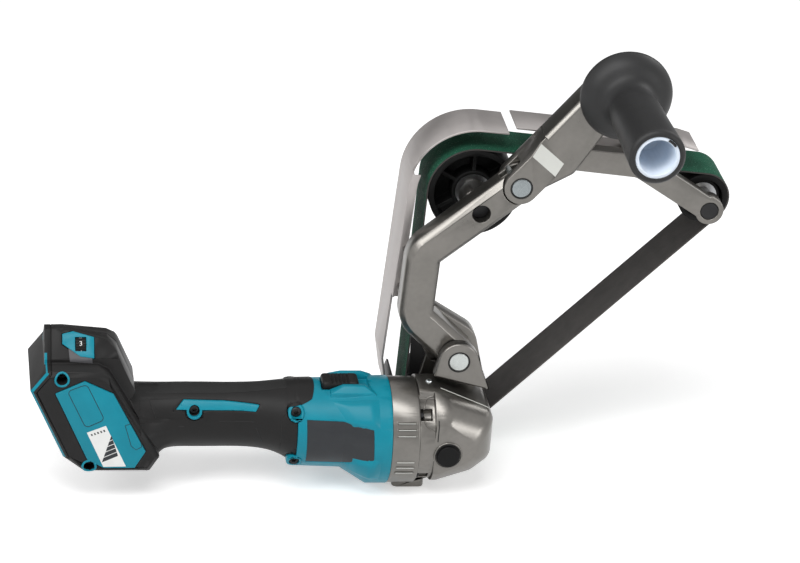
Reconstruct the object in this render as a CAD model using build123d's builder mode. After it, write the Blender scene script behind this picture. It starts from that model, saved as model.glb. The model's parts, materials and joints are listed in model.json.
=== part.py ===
from build123d import *
import math
import os

# A cordless belt sander for pipes: a motor handle, a gear head, and two sprung arms that carry a belt.
# X runs along the motor towards the nose, Y along the spindle towards the belt, Z up. The origin is the
# centre of the flat pad under the gear housing. Lengths are in millimetres.
os.makedirs("parts", exist_ok=True)

# Fits
running_clearance = 0.05
body_clearance = 0.4
seat_clearance = 0.02

# Gear head
spindle_height = 41.0
pad_to_spindle = 31.0
pad_half_width = 14.0
pad_length = 23.5
pad_corner = 4.0
flange_radius = 39.0
flange_back = -48.5
flange_front = -28.0
flange_edge = 1.5
head_neck_radius = 35.5
head_round_radius = 40.5
nose_step = -17.0
nose_brow = -12.5
nose_front = 28.0
nose_top_back = 39.0
nose_top_front = 21.5
nose_bottom_back = -33.0
nose_bottom_front = -12.0
nose_corner_x = 14.0
nose_corner_z = -24.5
nose_round = 9.0
head_far_face = 30.0
head_dome_start = -14.0
head_dome_depth = 21.0
head_dome_draw = 15.0
dome_round = 0.62
dome_share = 0.36
flange_rib_count = 3
flange_rib_rows = ((13.5, 4.15), (-7.0, -5.2))
flange_rib_height = 0.7
flange_rib_width = 1.2
flange_rib_length = 13.9
gear_cavity_radius = 22.0
gear_cavity_near = -12.0

# Bevel gears, with their common apex where the two axes cross
crown_teeth = 33
pinion_teeth = 12
crown_pitch_radius = 20.5
gear_face_width = 8.5
crown_thickness = 9.0
gear_mesh_clearance = 0.35
tooth_depth = 1.1

# Spindle and its bearings
spindle_radius = 7.0
spindle_tail_radius = 4.0
tail_bearing_radius = 6.2
tail_bearing_length = 8.0
tail_bearing_near = -28.0
ball_bearing_radius = 16.0
ball_bearing_width = 9.0
ball_bearing_near = 22.0
bearing_lip = 1.5
box_flange_radius = 27.0
box_flange_thickness = 4.3
neck_radius = 20.0
box_bolt_circle = 25.0
box_bolt_turns = (0.3, 2.0, 3.6, 5.2)
bolt_head_radius = 2.4
bolt_head_height = 2.6
flange_bolt_circle = 34.0
flange_bolt_notch = 4.5
flange_bolt_notch_length = 9.0

# Sanding belt and its pulleys, places measured from the spindle axis
belt_width = 40.0
belt_near = 42.5
belt_thickness = 1.2
belt_gap = 0.3
pulley_overhang = 0.5
drive_radius = 29.0
upper_idler_radius = 33.0
upper_idler_x = 9.5
upper_idler_z = 171.4
tip_idler_radius = 18.5
tip_idler_x = 180.2
tip_idler_z = 169.2
pulley_rim = 4.0
pulley_web = 6.0
axle_radius = 5.0
idler_bearing_width = 8.0
upper_bearing_radius = 13.0
tip_bearing_radius = 11.0
bearing_inset = 4.0
axle_head_radius = 6.3
axle_head_height = 4.5
axle_nut_height = 4.0

# Arm bracket and arms
pivot_x = 1.2
pivot_z = 56.9
ear_near = -4.0
ear_thickness = 8.6
ear_radius = 14.5
ear_back_x = -16.5
ear_back_z = 45.2
ear_front_x = 25.0
ear_front_z = 34.3
far_ear_radius = 17.5
far_ear_tail = (-19.0, 76.0)
far_ear_tail_radius = 12.0
bracket_collar_wall = 6.0
bracket_collar_thickness = 5.0
pivot_pin_radius = 7.2
arm_near = 5.0
arm_depth = 18.0
arm_half_width = 12.5
arm_bevel = 4.2
arm_knee_round = 14.0
knee_low_x = -31.3
knee_low_z = 86.8
knee_high_x = -28.8
knee_high_z = 137.3
elbow_x = 36.7
elbow_z = 192.3
elbow_pin_radius = 7.2
tongue_near = 12.6
eye_near = 4.0
eye_radius = 12.5
eye_reach = 38.0
eye_ramp_start = 22.0
eye_ramp_end = 33.0
eye_slot_start = -4.0
eye_slot_end = 12.0
eye_slot_floor = 3.0
plate_inset = 0.6
plate_knee = (68.5, 207.5)
plate_knee_radius = 9.5
upper_plate_near = 10.0
upper_arm_far = 31.6
bar_near = 19.0
bar_half_width = 8.6
bar_start_x = 66.0
bar_start_z = 210.0
bar_bend_x = 126.0
bar_bend_z = 203.5
bar_bevel = 2.8
bar_end_radius = 10.5
arm_bore_depth = 13.0
pocket_length = 16.0
pocket_width = 9.0
pocket_depth = 3.9
pocket_from_elbow = 0.5
stop_pin_radius = 2.2
stop_pin_seat = 2.4

# Side handle
handle_x = 102.4
handle_z = 270.0
handle_end = -117.0
handle_collar_radius = 15.0
handle_flange_radius = 33.0
handle_flange_near = -9.0
handle_shoulder_radius = 20.0
handle_shoulder_near = -22.6
handle_neck_radius = 16.9
handle_grip_radius = 18.5
handle_end_radius = 19.6
handle_bore_radius = 15.4
handle_bore_depth = 46.0
handle_liner_wall = 2.6
handle_stud_radius = 5.0
handle_stud_depth = 16.0
handle_stud_reach = 26.0
handle_boss_radius = 13.5

# Belt guards, folded from sheet
guard_sheet = 1.5
guard_near = 43.0
guard_width = 40.0
guard_air = 13.0
guard_top_run = 22.0
guard_low_end = (-47.8, 36.0)
guard_tail_end = (-43.4, 11.0)
guard_wing_near = 37.0
guard_wing_top = 187.0
guard_lip = 4.5
guard_flange = 9.0
top_guard_air = 18.0
top_guard_width = 33.0
top_guard_start = 37.5
top_guard_bend = 163.0
top_guard_end_x = 172.5
top_guard_end_drop = 3.0
top_guard_flange = 10.0
top_guard_round = 12.0
standoff_radius = 4.0
standoff_low_z = 98.0
standoff_high_z = 128.0
top_standoff_back = 64.0
top_standoff_front = 118.0
drive_guard_start = 158.0
drive_guard_sweep = 162.0
drive_plate_top = [(2.0, 67.0), (-28.5, 67.0), (-27.5, 26.0)]
guard_screw_head = 3.4
guard_screw_height = 2.0

# Motor housing, with stations as axial place, height of the centre, half width and half height, and motor
motor_back = (-117.0, 6.3, 32.2, 32.0)
motor_waist = (-83.5, 6.0, 34.0, 32.6)
motor_ring = (-64.0, 0.0, 39.5, 39.5)
motor_front = (flange_back, 0.0, 39.5, 39.5)
motor_back_wall = 8.0
stator_radius = 23.0
stator_bore = 12.5
stator_length = 34.0
stator_front = -66.0
coil_length = 5.0
coil_inner_radius = 14.0
coil_outer_radius = 21.0
rotor_radius = 12.0
rotor_shaft_radius = 4.0
pinion_shaft_radius = 3.0
fan_radius = 31.0
fan_hub_radius = 9.0
fan_front = -51.0
fan_thickness = 8.0
fan_room = 2.0
fan_disc = 2.0
fan_blades = 15
motor_bearing_radius = 11.0
motor_bearing_width = 7.0
front_bearing_front = -33.0

# Slide switch
collar_profile = [(-93.0, 37.5), (-83.5, 41.8), (-68.0, 41.8), (-60.0, 37.0)]
collar_half_width = 16.5
collar_crest_half_width = 12.5
collar_edge = 37.5
collar_root = 30.0
switch_length = 27.0
switch_half_width = 8.5
switch_top = 42.4
switch_back = -98.5
switch_travel = 7.0
switch_slot_floor = 36.0
switch_round = 3.0
switch_groove_width = 1.4
switch_groove_depth = 0.9
switch_groove_count = 5
nameplate_outline = [
    (-110.5, 22.2),
    (-84.0, 21.6),
    (-62.5, 17.5),
    (-61.5, -5.0),
    (-84.5, -12.5),
    (-109.5, -12.5),
]
nameplate_recess = 0.8
nameplate_thickness = 0.6
lug_radius = 5.8
lugs_at = [(-118.5, 26.5), (-118.0, -12.4)]
lug_root = 20.0
lug_proud = 1.0
motor_screw_radius = 3.8
motor_screw_height = 2.5
motor_screw_seat = 22.0

# Handle shell: grip stations as axial place, height of the centre, half width and half height
grip_front = (-117.0, 6.5, 31.5, 31.5)
grip_shoulder = (-135.0, 11.5, 25.5, 25.5)
grip_neck = (-158.0, 12.2, 21.5, 23.8)
grip_middle = (-180.0, 12.2, 21.5, 23.8)
grip_back = (-203.0, 12.2, 21.5, 23.8)
flare_z = 16.0
flare_sink = 6.0
flare_half_width = 31.0
flare_half_height = 27.0
shell_wall = 3.0
rear_half_width = 36.0
rear_edge = 3.5
rear_tip = (-309.5, 48.0)
rear_shoulder = (-298.0, 63.5)
rear_deck_end = (-262.0, 63.5)
rear_brow = (-254.0, 59.5)
rear_front = (-216.0, -5.0)
rear_toe = (-223.0, -16.5)
rear_floor_end = (-270.0, -16.5)
rear_heel = (-285.0, -5.0)
hump_half_width = 20.0
hump_bevel_low = 66.5
hump_back_top = (-299.5, 82.5)
hump_crest = (-287.0, 83.2)
hump_front_top = (-255.0, 77.3)
hump_nose = (-248.5, 71.4)
hump_foot = (-234.0, 40.0)
hump_root_x = -246.0
hump_root_z = 20.0
panel_outline = [
    (-292.0, 47.5),
    (-271.5, 57.5),
    (-251.0, 47.5),
    (-226.5, 1.0),
    (-234.0, -12.3),
    (-256.0, -12.3),
    (-268.0, -5.5),
]
panel_depth = 1.6
panel_proud = 0.5
strip_outline = [(-204.5, 25.4), (-199.0, 31.0), (-171.0, 30.4), (-144.5, 28.6), (-147.0, 24.6)]
strip_depth = 2.0
strip_proud = 0.5
strip_ring_radius = 5.6
grip_screw_at = (-191.3, 24.4)
top_screw_at = (-287.5, 58.2)
floor_screw_at = (-266.5, -11.2)
handle_screw_radius = 3.5
handle_screw_height = 2.5
handle_screw_shank = 1.6
handle_screw_end = 6.0
handle_boss_wall = 1.8
grip_screw_seat = -13.5
rear_screw_seat = -24.0

# Battery base and electrics
base_rim = 4.5
tray_depth = 9.5
tray_half_width = 30.0
slot_half_width = 27.0
slot_mouth = 22.0
slot_depth = 7.0
slot_lip = 2.2
slot_stop = 12.0
tray_end_wall = 4.0
terminal_half_width = 15.0
terminal_height = 3.5
terminal_length = 24.0
terminal_from_stop = 5.0
blade_count = 4
blade_pitch = 7.0
blade_thickness = 0.8
blade_length = 16.0
blade_height = 2.0
controller_length = 20.0
controller_height = 32.0
controller_half_width = 22.0
controller_x = -250.0
switch_unit_length = 34.0
switch_unit_half_height = 10.0
switch_unit_half_width = 15.8
switch_unit_x = -166.0

# Speed dial: a thumb wheel in the near bevel of the hump, and the plate round it
dial_radius = 6.5
dial_width = 7.0
dial_proud = 1.0
dial_x = -273.9
dial_from_edge = 8.6
dial_plate_outline = [(-13.0, 7.6), (-5.6, 9.6), (9.5, 5.2), (9.5, -10.6), (-0.3, -9.3), (-13.0, 0.1)]
dial_plate_thickness = 1.2
dial_plate_proud = 0.5
dial_axle_radius = 2.0
dial_axle_length = 14.0
dial_notches = 20
dial_notch_radius = 0.6
dial_block_depth = 8.5
dial_block_half_height = 4.5

# Shaft lock button
lock_x = -6.8
lock_z = -3.2
lock_stem_at = (-9.6, -6.2)
lock_radius = 8.3
lock_stem_radius = 2.0
lock_proud = 3.4
lock_travel = 3.0
lock_stem_length = 14.0
lock_edge = 1.2


def side(y):
    """Upright plane at depth y, its origin on the spindle axis, facing the side handle."""
    return Plane(origin=(pad_to_spindle, y, spindle_height), x_dir=(1, 0, 0), z_dir=(0, -1, 0))


def deck(z):
    """Level plane at height z above the motor axis, its origin on the spindle axis."""
    return Plane(origin=(pad_to_spindle, 0, spindle_height + z))


def cross(x):
    """Upright plane across the motor axis at x from the spindle, facing the nose."""
    return Plane(origin=(pad_to_spindle + x, 0, spindle_height), x_dir=(0, 1, 0), z_dir=(1, 0, 0))


def axis_along_y(x, z):
    """Axis parallel to the spindle, at x and z from it."""
    return Axis((pad_to_spindle + x, 0, spindle_height + z), (0, 1, 0))


def axis_along_x(z):
    """Axis parallel to the motor shaft, at height z above it."""
    return Axis((pad_to_spindle, 0, spindle_height + z), (1, 0, 0))


def polygon(plane, points):
    """Closed outline on a plane."""
    with BuildSketch(plane) as outline:
        with BuildLine():
            Polyline(*points, close=True)
        make_face()
    return outline.sketch


def drawn_in(plane, points, inset):
    """Closed outline on a plane, drawn in by inset."""
    with BuildSketch(plane) as outline:
        with BuildLine():
            Polyline(*points, close=True)
        make_face()
        if inset:
            offset(amount=-inset, kind=Kind.INTERSECTION)
    return outline.sketch


def loft_form(stations, inset, ruled):
    """Solid through elliptic sections across the motor axis, drawn in by inset."""
    with BuildPart() as form:
        for x, z, half_width, half_height in stations:
            with BuildSketch(cross(x)):
                with Locations((0, z)):
                    Ellipse(half_width - inset, half_height - inset)
        loft(ruled=ruled)
    return form.part


def turned_y(x, z, points):
    """Half section of a piece turned about an axis parallel to the spindle: radius and depth pairs."""
    plane = Plane(origin=(pad_to_spindle + x, 0, spindle_height + z))
    return polygon(plane, points)


def turned_x(z, points):
    """Half section of a piece turned about an axis parallel to the motor shaft: place and radius pairs."""
    plane = Plane(origin=(pad_to_spindle, 0, spindle_height + z), x_dir=(1, 0, 0), z_dir=(0, -1, 0))
    return polygon(plane, points)


def ring_points(inner, outer, start, end):
    """Section of a plain ring as radius and depth pairs."""
    return [(inner, start), (outer, start), (outer, end), (inner, end)]


def bar_points(inner, outer, start, end):
    """Section of a plain ring as place and radius pairs."""
    return [(start, inner), (start, outer), (end, outer), (end, inner)]


def strap(plane, points, half_width, rounds):
    """Flat strap of even width along a bent line, with round ends and rounded bends."""
    with BuildSketch(plane) as outline:
        with BuildLine():
            FilletPolyline(*points, radius=rounds)
            offset(amount=half_width)
        make_face()
    return outline.sketch


def save(builder, name):
    """Labels a finished piece and writes it under its name."""
    builder.part.label = name
    export_step(builder.part, f"parts/{name}.step")


def unit(start, end):
    """Unit vector from one point to another in the side plane."""
    length = math.dist(start, end)
    return ((end[0] - start[0]) / length, (end[1] - start[1]) / length)


pivot = (pivot_x, pivot_z)
elbow = (elbow_x, elbow_z)
knee_low = (knee_low_x, knee_low_z)
knee_high = (knee_high_x, knee_high_z)
upper_idler_at = (upper_idler_x, upper_idler_z)
tip_idler_at = (tip_idler_x, tip_idler_z)
handle_at = (handle_x, handle_z)
pulley_near = belt_near - pulley_overhang
pulley_far = belt_near + belt_width + pulley_overhang
drive_belt_radius = drive_radius + belt_gap
upper_belt_radius = upper_idler_radius + belt_gap
tip_belt_radius = tip_idler_radius + belt_gap
guard_far = guard_near + guard_width
box_far = head_far_face + box_flange_thickness
collar_far = box_far + bracket_collar_thickness
neck_far = collar_far + guard_sheet
arm_far = arm_near + arm_depth


def tangent(start, start_radius, end, end_radius):
    """Ends of the outer tangent of two circles, on the right of the way from start to end."""
    length = math.dist(start, end)
    lean = math.asin((start_radius - end_radius) / length)
    way = math.atan2(end[1] - start[1], end[0] - start[0])
    normal = way - math.pi / 2 + lean
    shift = (math.cos(normal), math.sin(normal))
    first = (start[0] + start_radius * shift[0], start[1] + start_radius * shift[1])
    last = (end[0] + end_radius * shift[0], end[1] + end_radius * shift[1])
    return first, last


def arc_middle(centre, radius, start, end):
    """Point of a circle half way between two of its points, on the side away from their chord's centre."""
    middle = ((start[0] + end[0]) / 2 - centre[0], (start[1] + end[1]) / 2 - centre[1])
    reach = math.hypot(*middle)
    return (centre[0] + middle[0] / reach * radius, centre[1] + middle[1] / reach * radius)


def belt_loop(plane, offset_out):
    """Belt path round the three pulleys, offset_out from the belt's inner face."""
    circles = [
        ((0, 0), drive_belt_radius + offset_out),
        (tip_idler_at, tip_belt_radius + offset_out),
        (upper_idler_at, upper_belt_radius + offset_out),
    ]
    runs = []
    for place in range(3):
        start, start_radius = circles[place]
        end, end_radius = circles[(place + 1) % 3]
        runs.append(tangent(start, start_radius, end, end_radius))
    with BuildSketch(plane) as loop:
        with BuildLine():
            for place in range(3):
                Line(*runs[place])
                centre, radius = circles[(place + 1) % 3]
                arrive = runs[place][1]
                leave = runs[(place + 1) % 3][0]
                ThreePointArc(arrive, arc_middle(centre, radius, arrive, leave), leave)
        make_face()
    return loop.sketch


# Gear housing: flange, domed nose, foot pad, gear cavity and bearing seats
def nose_outline(plane, back, draw):
    """Side outline of the nose from back to its front, drawn in by draw at the top, front and bottom."""
    with BuildSketch(plane) as outline:
        with BuildLine():
            Polyline(
                (back, nose_top_back - draw),
                (nose_brow, nose_top_back - draw),
                (nose_front - draw, nose_top_front - draw),
                (nose_front - draw, nose_bottom_front + draw / 2),
                (nose_corner_x - draw / 2, nose_corner_z + draw),
                (nose_brow, nose_bottom_back + draw),
                (back, nose_bottom_back + draw),
                close=True,
            )
        make_face()
        front = outline.vertices().sort_by(Axis.X)[-3:]
        fillet(front, radius=nose_round)
    return outline.sketch


dome_near = head_dome_start - head_dome_depth
bolt_step = flange_bolt_circle / math.sqrt(2)
flange_bolts_at = [(across * bolt_step, up * bolt_step) for across in (-1, 1) for up in (-1, 1)]
pinion_heel = -crown_pitch_radius
pinion_pitch_radius = crown_pitch_radius * pinion_teeth / crown_teeth
with BuildPart() as gear_housing:
    with BuildSketch(cross(flange_back)):
        Circle(flange_radius)
    extrude(amount=flange_front - flange_back)
    fillet(gear_housing.edges().filter_by(GeomType.CIRCLE).sort_by(Axis.X)[-1:], radius=flange_edge)
    with BuildSketch(cross(flange_back)):
        Circle(head_neck_radius)
    extrude(amount=nose_brow - flange_back)
    dome_middle = head_dome_start - dome_round * head_dome_depth
    dome = [
        nose_outline(side(head_dome_start), nose_step, 0),
        nose_outline(side(dome_middle), nose_step, dome_share * head_dome_draw),
        nose_outline(side(dome_near), nose_step, head_dome_draw),
    ]
    loft(dome)
    extrude(nose_outline(side(head_far_face), flange_front, 0), amount=head_far_face - head_dome_start)
    with BuildSketch(cross(flange_back)):
        Circle(head_round_radius)
    extrude(amount=nose_front - flange_back, mode=Mode.INTERSECT)
    for first_z, pitch in flange_rib_rows:
        for place in range(flange_rib_count):
            rib_z = first_z + pitch * place
            reach = math.sqrt((flange_radius + flange_rib_height) ** 2 - rib_z**2)
            with BuildSketch(side(-reach / 2)):
                with Locations(((flange_back + flange_front) / 2, rib_z)):
                    Rectangle(flange_rib_length, flange_rib_width)
            extrude(amount=reach / 2)
    with BuildSketch(deck(-spindle_height)):
        with Locations((-pad_to_spindle, 0)):
            RectangleRounded(pad_length, 2 * pad_half_width, pad_corner)
    extrude(amount=flange_radius / 2)
    split(bisect_by=Plane.XZ.offset(-head_far_face), keep=Keep.TOP)
    with BuildSketch(side(head_far_face)):
        Circle(gear_cavity_radius)
    extrude(amount=head_far_face - gear_cavity_near, mode=Mode.SUBTRACT)
    with BuildSketch(side(gear_cavity_near)):
        Circle(tail_bearing_radius + seat_clearance)
    extrude(amount=gear_cavity_near - tail_bearing_near, mode=Mode.SUBTRACT)
    motor_bore = bar_points(0, motor_bearing_radius + seat_clearance, flange_back, front_bearing_front)
    revolve(turned_x(0, motor_bore), axis=axis_along_x(0), mode=Mode.SUBTRACT)
    gear_bore = bar_points(0, pinion_pitch_radius + 2, front_bearing_front, 0)
    revolve(turned_x(0, gear_bore), axis=axis_along_x(0), mode=Mode.SUBTRACT)
    with BuildSketch(side(dome_near)):
        with Locations(lock_stem_at):
            Circle(lock_stem_radius + running_clearance)
    extrude(amount=dome_near - gear_cavity_near, mode=Mode.SUBTRACT)
    for place in flange_bolts_at:
        with BuildSketch(cross(flange_front)):
            with Locations(place):
                Circle(flange_bolt_notch)
        extrude(amount=flange_bolt_notch_length, mode=Mode.SUBTRACT)
    lock_seat = dome_near + lock_travel + 1
    with BuildSketch(side(lock_seat)):
        with Locations((lock_x, lock_z)):
            Circle(lock_radius + body_clearance)
    extrude(amount=lock_seat - dome_near + lock_radius, mode=Mode.SUBTRACT)
save(gear_housing, "gear_housing")

# Gear housing screws, set in notches round the flange
with BuildPart() as gear_housing_screws:
    for place in flange_bolts_at:
        with BuildSketch(cross(flange_front)):
            with Locations(place):
                Circle(bolt_head_radius)
        extrude(amount=bolt_head_height)
        with BuildSketch(cross(flange_front + bolt_head_height)):
            with Locations(place):
                RegularPolygon(bolt_head_radius * 0.55, 6)
        extrude(amount=-bolt_head_height * 0.6, mode=Mode.SUBTRACT)
save(gear_housing_screws, "gear_housing_screws")

# Bearing box: the cover on the spindle side of the gear housing, with the ball bearing's seat and a neck
ball_bearing_far = ball_bearing_near + ball_bearing_width
bearing_seat = ball_bearing_radius + seat_clearance
spigot_radius = gear_cavity_radius - seat_clearance
neck_bore = spindle_radius + 1.5
box_bolts_at = []
for turn in box_bolt_turns:
    box_bolts_at.append((box_bolt_circle * math.cos(turn), box_bolt_circle * math.sin(turn)))
with BuildPart() as bearing_box:
    box_section = [
        (bearing_seat, ball_bearing_near),
        (spigot_radius, ball_bearing_near),
        (spigot_radius, head_far_face),
        (box_flange_radius, head_far_face),
        (box_flange_radius, box_far),
        (neck_radius, box_far),
        (neck_radius, neck_far),
        (neck_bore, neck_far),
        (neck_bore, ball_bearing_far + bearing_lip),
        (ball_bearing_radius - bearing_lip, ball_bearing_far + bearing_lip),
        (ball_bearing_radius - bearing_lip, ball_bearing_far),
        (bearing_seat, ball_bearing_far),
    ]
    revolve(turned_y(0, 0, box_section), axis=axis_along_y(0, 0))
    with BuildSketch(side(box_far)):
        with Locations(*box_bolts_at):
            Circle(bolt_head_radius + seat_clearance)
    extrude(amount=bolt_head_height + seat_clearance, mode=Mode.SUBTRACT)
save(bearing_box, "bearing_box")

with BuildPart() as bearing_box_screws:
    with BuildSketch(side(box_far)):
        with Locations(*box_bolts_at):
            Circle(bolt_head_radius)
    extrude(amount=bolt_head_height)
save(bearing_box_screws, "bearing_box_screws")

# Spindle bearings
with BuildPart() as spindle_ball_bearing:
    bearing_section = ring_points(
        spindle_radius + running_clearance, ball_bearing_radius, ball_bearing_near, ball_bearing_far
    )
    revolve(turned_y(0, 0, bearing_section), axis=axis_along_y(0, 0))
save(spindle_ball_bearing, "spindle_ball_bearing")

tail_bearing_far = tail_bearing_near + tail_bearing_length
with BuildPart() as spindle_tail_bearing:
    bearing_section = ring_points(
        spindle_tail_radius + running_clearance, tail_bearing_radius, tail_bearing_near, tail_bearing_far
    )
    revolve(turned_y(0, 0, bearing_section), axis=axis_along_y(0, 0))
save(spindle_tail_bearing, "spindle_tail_bearing")

# Crown gear: its pitch cone meets the pinion's at the crossing of the axes
crown_slope = pinion_teeth / crown_teeth
crown_back = crown_pitch_radius * crown_slope + crown_thickness
crown_toe = crown_pitch_radius - gear_face_width
with BuildPart() as crown_gear:
    crown_section = [
        (spindle_radius + seat_clearance, crown_toe * crown_slope + gear_mesh_clearance),
        (crown_toe, crown_toe * crown_slope + gear_mesh_clearance),
        (crown_pitch_radius, crown_pitch_radius * crown_slope + gear_mesh_clearance),
        (crown_pitch_radius, crown_back),
        (spindle_radius + seat_clearance, crown_back),
    ]
    revolve(turned_y(0, 0, crown_section), axis=axis_along_y(0, 0))
    groove_width = math.pi * crown_pitch_radius / crown_teeth * 0.8
    for tooth in range(crown_teeth):
        turn = 360 / crown_teeth * (tooth + 0.5)
        plane = Plane(
            origin=(pad_to_spindle, 0, spindle_height),
            x_dir=(math.cos(math.radians(turn)), 0, math.sin(math.radians(turn))),
            z_dir=(-math.sin(math.radians(turn)), 0, math.cos(math.radians(turn))),
        )
        root = gear_mesh_clearance + tooth_depth
        groove = [
            (crown_toe - 1, (crown_toe - 1) * crown_slope - 2),
            (crown_pitch_radius + 1, (crown_pitch_radius + 1) * crown_slope - 2),
            (crown_pitch_radius + 1, (crown_pitch_radius + 1) * crown_slope + root),
            (crown_toe - 1, (crown_toe - 1) * crown_slope + root),
        ]
        extrude(polygon(plane, groove), amount=groove_width / 2, both=True, mode=Mode.SUBTRACT)
save(crown_gear, "crown_gear")

# Spindle: tail journal, gear and bearing seats, pulley seat and threaded end
pulley_nut_near = pulley_far - pulley_web
with BuildPart() as spindle:
    spindle_section = [
        (0, tail_bearing_near + 0.5),
        (spindle_tail_radius, tail_bearing_near + 0.5),
        (spindle_tail_radius, crown_toe * crown_slope + gear_mesh_clearance - 1),
        (spindle_radius, crown_toe * crown_slope + gear_mesh_clearance - 1),
        (spindle_radius, pulley_nut_near),
        (axle_radius, pulley_nut_near),
        (axle_radius, pulley_nut_near + axle_nut_height + 1),
        (0, pulley_nut_near + axle_nut_height + 1),
    ]
    revolve(turned_y(0, 0, spindle_section), axis=axis_along_y(0, 0))
    chamfer(spindle.edges().sort_by(Axis.Y)[-1], length=0.8)
save(spindle, "spindle")


# Pulleys: a rim on a web with a hub, the rim hollow on both sides
def pulley_section(rim_radius, hub_radius, bore_radius, hub_near, hub_far):
    """Half section of a pulley as radius and depth pairs."""
    web_near = (pulley_near + pulley_far - pulley_web) / 2
    web_far = web_near + pulley_web
    return [
        (bore_radius, hub_near),
        (hub_radius, hub_near),
        (hub_radius, web_near),
        (rim_radius - pulley_rim, web_near),
        (rim_radius - pulley_rim, pulley_near),
        (rim_radius, pulley_near),
        (rim_radius, pulley_far),
        (rim_radius - pulley_rim, pulley_far),
        (rim_radius - pulley_rim, web_far),
        (hub_radius, web_far),
        (hub_radius, hub_far),
        (bore_radius, hub_far),
    ]


def pulley_holes(x, z, count, circle, radius):
    """Cutters for the lightening holes of a pulley's web."""
    with BuildSketch(side(pulley_far)) as holes:
        with Locations((x, z)):
            with PolarLocations(circle, count):
                Circle(radius)
    return holes.sketch


drive_hub_radius = spindle_radius + pulley_rim
with BuildPart() as drive_pulley:
    drive_bore = spindle_radius + seat_clearance
    drive_hub_near = neck_far + body_clearance
    section = pulley_section(drive_radius, drive_hub_radius, drive_bore, drive_hub_near, pulley_nut_near)
    revolve(turned_y(0, 0, section), axis=axis_along_y(0, 0))
    hole_circle = (drive_hub_radius + drive_radius - pulley_rim) / 2
    hole_radius = (drive_radius - pulley_rim - drive_hub_radius) / 2 - 2
    extrude(pulley_holes(0, 0, 6, hole_circle, hole_radius), amount=belt_width, mode=Mode.SUBTRACT)
save(drive_pulley, "drive_pulley")

with BuildPart() as pulley_nut:
    with BuildSketch(side(pulley_nut_near + axle_nut_height)):
        RegularPolygon(drive_hub_radius - 1, 6)
        Circle(axle_radius + seat_clearance, mode=Mode.SUBTRACT)
    extrude(amount=axle_nut_height)
save(pulley_nut, "pulley_nut")


# Idlers: spoked pulleys on two ball bearings each
def idler_parts(x, z, rim_radius, bearing_radius, spokes):
    """The pulley and the pair of bearings of one idler."""
    near_bearing = pulley_near + bearing_inset
    far_bearing = pulley_far - bearing_inset - idler_bearing_width
    hub_radius = bearing_radius + 2.5
    section = [
        (bearing_radius - 2, near_bearing + idler_bearing_width),
        (bearing_radius + seat_clearance, near_bearing + idler_bearing_width),
        (bearing_radius + seat_clearance, near_bearing),
        (hub_radius, near_bearing),
    ]
    web_near = (pulley_near + pulley_far - pulley_web) / 2
    web_far = web_near + pulley_web
    section += [
        (hub_radius, web_near),
        (rim_radius - pulley_rim, web_near),
        (rim_radius - pulley_rim, pulley_near),
        (rim_radius, pulley_near),
        (rim_radius, pulley_far),
        (rim_radius - pulley_rim, pulley_far),
        (rim_radius - pulley_rim, web_far),
        (hub_radius, web_far),
        (hub_radius, far_bearing + idler_bearing_width),
        (bearing_radius + seat_clearance, far_bearing + idler_bearing_width),
        (bearing_radius + seat_clearance, far_bearing),
        (bearing_radius - 2, far_bearing),
    ]
    with BuildPart() as pulley:
        revolve(turned_y(x, z, section), axis=axis_along_y(x, z))
        rim_inner = rim_radius - pulley_rim
        for spoke in range(spokes):
            turn = 2 * math.pi * (spoke + 0.5) / spokes
            with BuildSketch(side(web_near)):
                with BuildLine():
                    start = (x + (hub_radius - 0.5) * math.cos(turn), z + (hub_radius - 0.5) * math.sin(turn))
                    end = (x + (rim_inner + 0.5) * math.cos(turn), z + (rim_inner + 0.5) * math.sin(turn))
                    Line(start, end)
                trace(line_width=pulley_rim * 0.7)
            extrude(amount=web_near - near_bearing - 2)
    with BuildPart() as bearings:
        for start in (near_bearing, far_bearing):
            end = start + idler_bearing_width
            ring = ring_points(axle_radius + running_clearance, bearing_radius, start, end)
            revolve(turned_y(x, z, ring), axis=axis_along_y(x, z))
    return pulley, bearings


upper_idler, upper_idler_bearings = idler_parts(
    upper_idler_x, upper_idler_z, upper_idler_radius, upper_bearing_radius, 6
)
save(upper_idler, "upper_idler")
save(upper_idler_bearings, "upper_idler_bearings")
tip_idler, tip_idler_bearings = idler_parts(tip_idler_x, tip_idler_z, tip_idler_radius, tip_bearing_radius, 5)
save(tip_idler, "tip_idler")
save(tip_idler_bearings, "tip_idler_bearings")

# Sanding belt, a closed loop round the three pulleys
with BuildPart() as sanding_belt:
    belt_far = belt_near + belt_width
    extrude(belt_loop(side(belt_far), belt_thickness), amount=belt_width)
    extrude(belt_loop(side(belt_far), 0), amount=belt_width, mode=Mode.SUBTRACT)
save(sanding_belt, "sanding_belt")
belt_middle = belt_loop(side(0), belt_thickness / 2)
print("belt length at mid thickness", round(sum(edge.length for edge in belt_middle.edges()), 1))


# Arm bracket: two ears on a web, with a collar that clamps the neck of the bearing box
def ear_outline(plane, circles):
    """Hull of an ear's foot line and of circles given as centre and radius."""
    with BuildSketch(plane) as outline:
        with BuildLine():
            Line((ear_back_x, ear_back_z), (ear_front_x, ear_front_z))
            for centre, radius in circles:
                CenterArc(centre, radius, 0, 360)
        make_hull()
    return outline.sketch


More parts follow.
